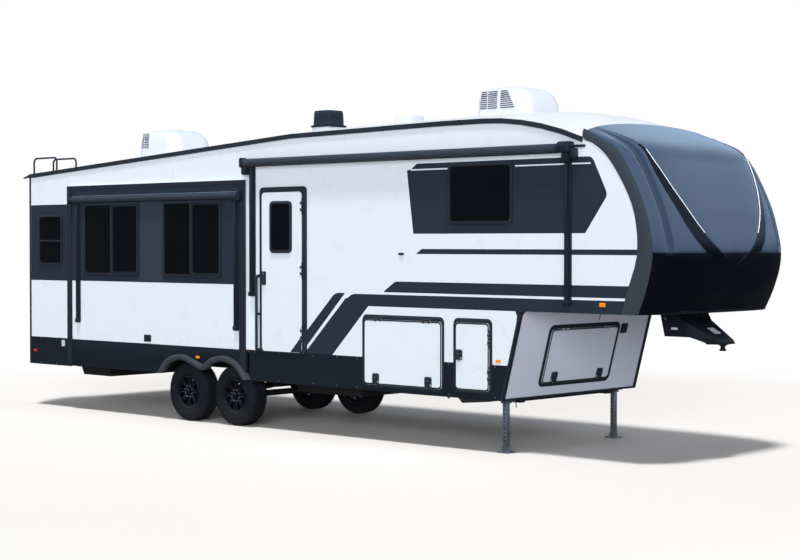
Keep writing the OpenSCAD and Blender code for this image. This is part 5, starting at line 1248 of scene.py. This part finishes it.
cap_rows = [
    # place on the wall's front edge, then the nose's reach and height, and the skin's lean
    (*side_foot(0), roof_l + 0.845, 1.556, 0), (*side_foot(0.41), roof_l + 0.985, 1.820, 0),
    (*side_foot(0.92), roof_l + 1.050, 2.150, 4), (*side_arc(12), roof_l + 0.962, 2.500, 12),
    (*side_arc(24), roof_l + 0.855, 2.775, 22), (*side_arc(40), roof_l + 0.690, 3.110, 38),
    (*side_arc(50), roof_l + 0.545, 3.310, 56), (roof_l, roof_end, roof_l, roof_end + 0.180, 90),
]
fin_line = [(2.02, 0.02), (2.05, 0.05), (2.10, 0.120), (2.208, 0.291), (2.293, 0.414), (2.351, 0.483), (2.473, 0.590),
            (2.592, 0.675), (2.72, 0.750), (2.84, 0.813), (2.97, 0.863), (3.097, 0.907), (3.221, 0.935), (3.33, 0.942), (3.60, 0.940)]
facet_w = [(2.02, 0.05), (2.10, 0.22), (2.20, 0.25), (2.40, 0.19), (2.60, 0.145), (2.80, 0.11), (3.00, 0.075), (3.25, 0.040), (3.60, 0.012)]


def along(table, x):
    """The value at x in a table, straight between its places"""
    if x <= table[0][0]:
        return table[0][1]
    for (a, u), (b, v) in zip(table, table[1:]):
        if x <= b:
            return u + (v - u) * (x - a) / (b - a)
    return table[-1][1]


def cap_run(t):
    """The rows' values at t, on a smooth run that passes through each row"""
    k = min(int(t), len(cap_rows) - 2)
    f = t - k
    a, b, c, d = (cap_rows[max(0, min(len(cap_rows) - 1, k + j))] for j in (-1, 0, 1, 2))
    return [0.5 * (2 * q + (r - p) * f + (2 * p - 5 * q + 4 * r - s) * f ** 2 + (3 * q - p - 3 * r + s) * f ** 3)
            for p, q, r, s in zip(a, b, c, d)]


def cap_skin(t, s, out):
    v = cap_run(t)
    square = cap_square + (cap_square_top - cap_square) * max(0, min(1, (t - 5) / 2))
    g = max(0.0, 1 - abs(s) ** square) ** (1 / square)
    lean = math.radians(v[4])
    return (v[0] + (v[2] - v[0]) * g + out * g * math.cos(lean), s * (wall_y + min(0, out) * 0.4),
            v[1] + (v[3] - v[1]) * g + out * g * math.sin(lean))


def hump(x, middle, half):
    q = abs(x - middle) / half
    return 0.0 if q >= 1 else 0.5 + 0.5 * math.cos(math.pi * q)


def cap_columns(t):
    """Across a row from the side to the middle: place, height off the skin, and which facet"""
    z = cap_run(t)[3]
    fade = along([(2.02, 0.0), (2.12, 1.0), (3.33, 1.0), (3.50, 0.0)], z)
    crest = along(fin_line, z) / wall_y
    edge = min(0.778, crest + along(facet_w, z) / wall_y)
    flute_fade = along([(2.17, 0.0), (2.26, 1.0), (3.35, 1.0), (3.53, 0.1)], z)
    columns = []
    for k in range(10):
        s = 1 - 0.075 * (k / 10) ** 1.7
        columns.append([s, 0.0, 0])
    for k in range(15):
        s = 0.925 - (0.925 - 0.782) * k / 15
        # the flute's middle is kind 2, painted darker as shade in the hollow
        columns.append([s, -0.034 * flute_fade * hump(s, 0.852, 0.068), 2 if abs(s - 0.848) < 0.030 else 0])
    for k in range(8):
        s = 0.782 + (edge - 0.782) * k / 8
        columns.append([s, 0.0, 0])
    for k in range(5):
        s = edge + (crest - edge) * k / 5
        columns.append([s, fin_h * fade * (k / 5) ** 0.8, 1])
    inner = max(crest * 0.55, crest - 0.011)
    columns += [[crest, fin_h * fade, 1], [crest - (crest - inner) * 0.5, fin_h * 0.94 * fade, 0],
                [inner, fin_h * 0.5 * fade, 0]]
    for k in range(1, 19):
        q = k / 18
        columns.append([inner * (1 - q), fin_h * 0.5 * fade * (1 - 0.5 * q), 0])
    low = z < 2.19
    if low:
        for column in columns:
            s = column[0]
            # chevron facets of the black lower part, and the lip over the pin box
            ridge = 1.74 + 0.36 * abs(s - 0.30)
            column[1] += 0.016 * max(0, 1 - abs(z - ridge) / 0.16) * along([(0, 0.4), (0.2, 1), (0.8, 1), (0.93, 0)], s)
            column[1] += 0.014 * hump(z, 1.60, 0.045) * along([(0, 1), (0.42, 1), (0.52, 0)], s)
    return columns


seam_z = 2.190
ts = [k / 16 for k in range(16 * (len(cap_rows) - 1) + 1)]
seam_t = 2 + next(k / 1000 for k in range(1000) if cap_run(2 + k / 1000)[3] > seam_z)
ts = sorted([t for t in ts if abs(t - seam_t) > 0.03] + [seam_t + d for d in (-0.022, -0.014, 0.014, 0.022)])
cap_bm = bmesh.new()
cap_t = 0.022
grids = {0: [], 1: []}
kinds = None
for t in ts:
    half_row = cap_columns(t)
    row = half_row + [[-s, out, kind] for s, out, kind in half_row[-2::-1]]
    kinds = [c[2] for c in row]
    groove = -0.006 if abs(t - seam_t) < 0.018 else 0.0
    grids[0].append([cap_bm.verts.new(cap_skin(t, s, out + groove)) for s, out, kind in row])
    grids[1].append([cap_bm.verts.new(cap_skin(t, s * 0.985, min(0, out) - cap_t)) for s, out, kind in row])
rows_n, cols_n = len(ts), len(kinds)
middle = cols_n // 2
for layer in (0, 1):
    grid = grids[layer]
    for i in range(rows_n - 1):
        for j in range(cols_n - 1):
            corner = (grid[i][j], grid[i][j + 1], grid[i + 1][j + 1], grid[i + 1][j])
            face = cap_bm.faces.new(corner)
            t = (ts[i] + ts[i + 1]) / 2
            z = cap_run(t)[3]
            kind = kinds[j] if j < middle else kinds[j + 1]
            # material 2 is the flute's middle, painted darker as shade in the hollow
            face.material_index = 1 if (z < seam_z or (kind == 1 and z < 3.30)) else (2 if kind == 2 else 0)
edge_loop = ([(0, j) for j in range(cols_n)] + [(i, cols_n - 1) for i in range(1, rows_n)]
             + [(rows_n - 1, j) for j in range(cols_n - 2, -1, -1)] + [(i, 0) for i in range(rows_n - 2, 0, -1)])
for (i, j), (m, n) in zip(edge_loop, edge_loop[1:] + edge_loop[:1]):
    cap_bm.faces.new((grids[0][i][j], grids[0][m][n], grids[1][m][n], grids[1][i][j]))
cap_mesh = bpy.data.meshes.new("nose_shell")
cap_bm.to_mesh(cap_mesh)
cap_bm.free()
cap_piece = fit("nose_shell", [cap_mesh], "root", cap_blue, 28)
cap_piece.data.materials.append(cap_black)
cap_piece.data.materials.append(cap_flute_shade)
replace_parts(cap_piece, "nose_cap")
strip_white = finish("strip_white", (0.86, 0.90, 0.97), 0.25, vary=0.03, patch=10,
                     Emission_Color=(0.9, 0.95, 1.0, 1), Emission_Strength=0.25)
strips = []
for side in (-1, 1):
    spots = []
    t = 2.0
    while t < 7.0:
        z = cap_run(t)[3]
        if 2.385 < z < 3.235:
            s = along(fin_line, z) / wall_y - 0.004
            spots.append(cap_skin(t, side * s, fin_h))
        t += 0.03
    strips.append(tube(spots, 0.0048, 2))
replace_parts(fit("strip_lamps", strips, "root", strip_white), "nose_lamps")

# Lamps: amber lenses along the sides, a red one at the rear corner, and two tall red
# tail lamps with their reversing panes.
side_lamps = []
for wall in (right, left):
    for x, z, half, high in ((8.618, 1.010, 0.030, 0.015), (10.000, 1.650, 0.035, 0.020)):
        side_lamps += [stand(m, wall, 0.0) for m in lamp_lens(x - half - 0.002, x + half + 0.002, z - high - 0.002, z + high + 0.002, 0.0165, 7)]
fit("side_lenses", side_lamps, "root", amber)
red_lamps = [stand(m, wall, 0.0) for wall in (right, left) for m in lamp_lens(0.098, 0.162, 0.757, 0.791, 0.0165, 7)]
for side in (-1, 1):
    y0, y1 = sorted((side * (wall_y - 0.320), side * (wall_y - 0.160)))
    red_lamps += [stand(m, back, 0.0) for m in lamp_lens(y0 - 0.008, y1 + 0.008, 1.075, 1.308, 0.024, 9)]
fit("red_lenses", red_lamps, "root", red_lens)
reverse_panes = []
for side in (-1, 1):
    y0, y1 = sorted((side * (wall_y - 0.320), side * (wall_y - 0.160)))
    reverse_panes += [stand(m, back, 0.0) for m in lamp_lens(y0 - 0.008, y1 + 0.008, 0.992, 1.075, 0.024, 9)]
fit("reversing_panes", reverse_panes, "root", unit_white)

# Tyres: black rubber with a ribbed, sipe-cut tread, a stepped sidewall and a rim bead.
tyre_rubber = finish("tyre_rubber", (0.012, 0.013, 0.016), 0.62, vary=0.15, patch=6, grain=500,
                     bump=0.35, dust=(road_dust, 0.3, 0.12), Specular_IOR_Level=0.25)
tyre_half = 0.1175
rim_r = 0.215
wheels = {"right_rear": (axle_places[0], -1), "right_front": (axle_places[1], -1),
          "left_rear": (axle_places[0], 1), "left_front": (axle_places[1], 1)}


def tyre_form(centre, side):
    """One half profile from the bead out to the shoulder, mirrored, with cut tread blocks"""
    half = [(rim_r + 0.001, 0.100), (rim_r + 0.006, 0.106), (rim_r + 0.016, 0.108), (rim_r + 0.022, 0.1145), (rim_r + 0.042, 0.1172),
            (rim_r + 0.060, 0.1172), (rim_r + 0.062, 0.1185), (rim_r + 0.068, 0.1185), (rim_r + 0.070, 0.1170), (tyre_r - 0.052, 0.1165),
            (tyre_r - 0.038, 0.1130), (tyre_r - 0.030, 0.1125), (tyre_r - 0.014, 0.1020), (tyre_r - 0.004, 0.088),
            (tyre_r - 0.001, 0.072), (tyre_r - 0.001, 0.064), (tyre_r - 0.010, 0.062), (tyre_r - 0.010, 0.054), (tyre_r, 0.052),
            (tyre_r, 0.022), (tyre_r - 0.010, 0.020), (tyre_r - 0.010, 0.012), (tyre_r, 0.010)]
    profile = [(r, y) for r, y in half] + [(r, -y) for r, y in half[::-1]]
    around = 180
    bm = bmesh.new()
    rings = []
    for j, (r, y) in enumerate(profile):
        ring = []
        for k in range(around):
            cut = 0.0
            if r > tyre_r - 0.016 and abs(y) > 0.062 and k % 5 == 0:
                cut = 0.008
            elif r > tyre_r - 0.002 and k % 5 == (2 if y > 0 else 0):
                cut = 0.006
            a = 2 * math.pi * (k + (0.6 * y / 0.03 if r > tyre_r - 0.02 else 0)) / around
            rr = r - cut
            ring.append(bm.verts.new((centre + rr * math.cos(a), side * track + y, tyre_r + rr * math.sin(a))))
        rings.append(ring)
    for j in range(len(rings)):
        low, high = rings[j], rings[(j + 1) % len(rings)]
        for k in range(around):
            n = (k + 1) % around
            bm.faces.new((low[k], low[n], high[n], high[k]))
    mesh = bpy.data.meshes.new("tyre")
    bm.to_mesh(mesh)
    bm.free()
    return mesh


for name, (centre, side) in wheels.items():
    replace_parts(fit("tread_" + name, [tyre_form(centre, side)], "wheel_" + name, tyre_rubber, 34), "tyre_" + name)

# Rims: cast alloy in gloss black with eight split spokes, a stepped lip, a centre cap
# and bright wheel nuts in counterbores.
rim_black = finish("rim_black", (0.006, 0.006, 0.008), 0.22, vary=0.1, patch=8, Coat_Weight=0.3, Specular_IOR_Level=0.4)
spokes = 8
disc_out = 0.1015


def rim_form(centre, side):
    wheel = wall_frame((1, 0, 0), up, (0, side, 0), (centre, side * track, tyre_r))
    turn = lambda a, r: (r * math.cos(a), r * math.sin(a))
    holes = []
    step = 2 * math.pi / spokes
    for k in range(spokes):
        a = step * (k + 0.5)
        wide = [turn(a - 0.125, 0.098), turn(a - 0.19, 0.130), turn(a - 0.225, 0.176), turn(a, 0.186),
                turn(a + 0.225, 0.176), turn(a + 0.19, 0.130), turn(a + 0.125, 0.098), turn(a, 0.093)]
        holes.append(soften(wide, 0.012, 3))
        a = step * k
        holes.append(soften([turn(a - 0.02, 0.118), turn(a - 0.06, 0.178), turn(a + 0.06, 0.178), turn(a + 0.02, 0.118)], 0.006, 3))
    rim_edge = [turn(2 * math.pi * k / 96, 0.200) for k in range(96)]
    disc = flat([rim_edge] + holes, 0.030, 0.004, 2)
    disc.transform(Matrix.Translation((0, 0, disc_out - 0.030)))
    bm = bmesh.new()
    bm.from_mesh(disc)
    for v in bm.verts:
        r = math.hypot(v.co.x, v.co.y)
        v.co.z -= 0.020 * math.cos(min(1, r / 0.195) * math.pi / 2) ** 1.4
    bm.to_mesh(disc)
    bm.free()
    barrel = [(0.199, 0.070), (0.199, 0.098), (0.205, 0.1035), (0.2135, 0.1055), (0.2165, 0.103), (0.2165, 0.098), (0.2148, 0.088),
              (0.2148, -0.100), (0.2165, -0.1045), (0.2135, -0.1055), (0.200, -0.100), (0.192, -0.05), (0.188, 0.03), (0.199, 0.070)]
    hub = [(0, disc_out + 0.018), (0.030, disc_out + 0.018), (0.040, disc_out + 0.012), (0.043, disc_out - 0.004), (0.046, disc_out - 0.030),
           (0.046, disc_out - 0.046), (0, disc_out - 0.046)]
    forms = [disc, lathe(barrel, (0, 0, 0), "Z", 96), lathe(hub, (0, 0, 0), "Z", 48)]
    nuts = []
    for k in range(spokes):
        x, z = turn(step * (k + 0.5), 0.070)
        nuts.append(lathe([(0, disc_out - 0.022), (0.0105, disc_out - 0.022), (0.0105, disc_out - 0.002), (0.007, disc_out + 0.002), (0, disc_out + 0.002)],
                          (x, z, 0), "Z", 6))
        forms.append(lathe([(0.013, disc_out - 0.022), (0.017, disc_out - 0.022), (0.017, disc_out - 0.008), (0.013, disc_out - 0.008), (0.013, disc_out - 0.022)],
                           (x, z, 0), "Z", 20))
    return [stand(m, wheel) for m in forms], [stand(m, wheel) for m in nuts]


for name, (centre, side) in wheels.items():
    forms, nuts = rim_form(centre, side)
    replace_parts(fit("spokes_" + name, forms, "wheel_" + name, rim_black), "rim_" + name)
    fit("wheel_nuts_" + name, nuts, "wheel_" + name, zinc)
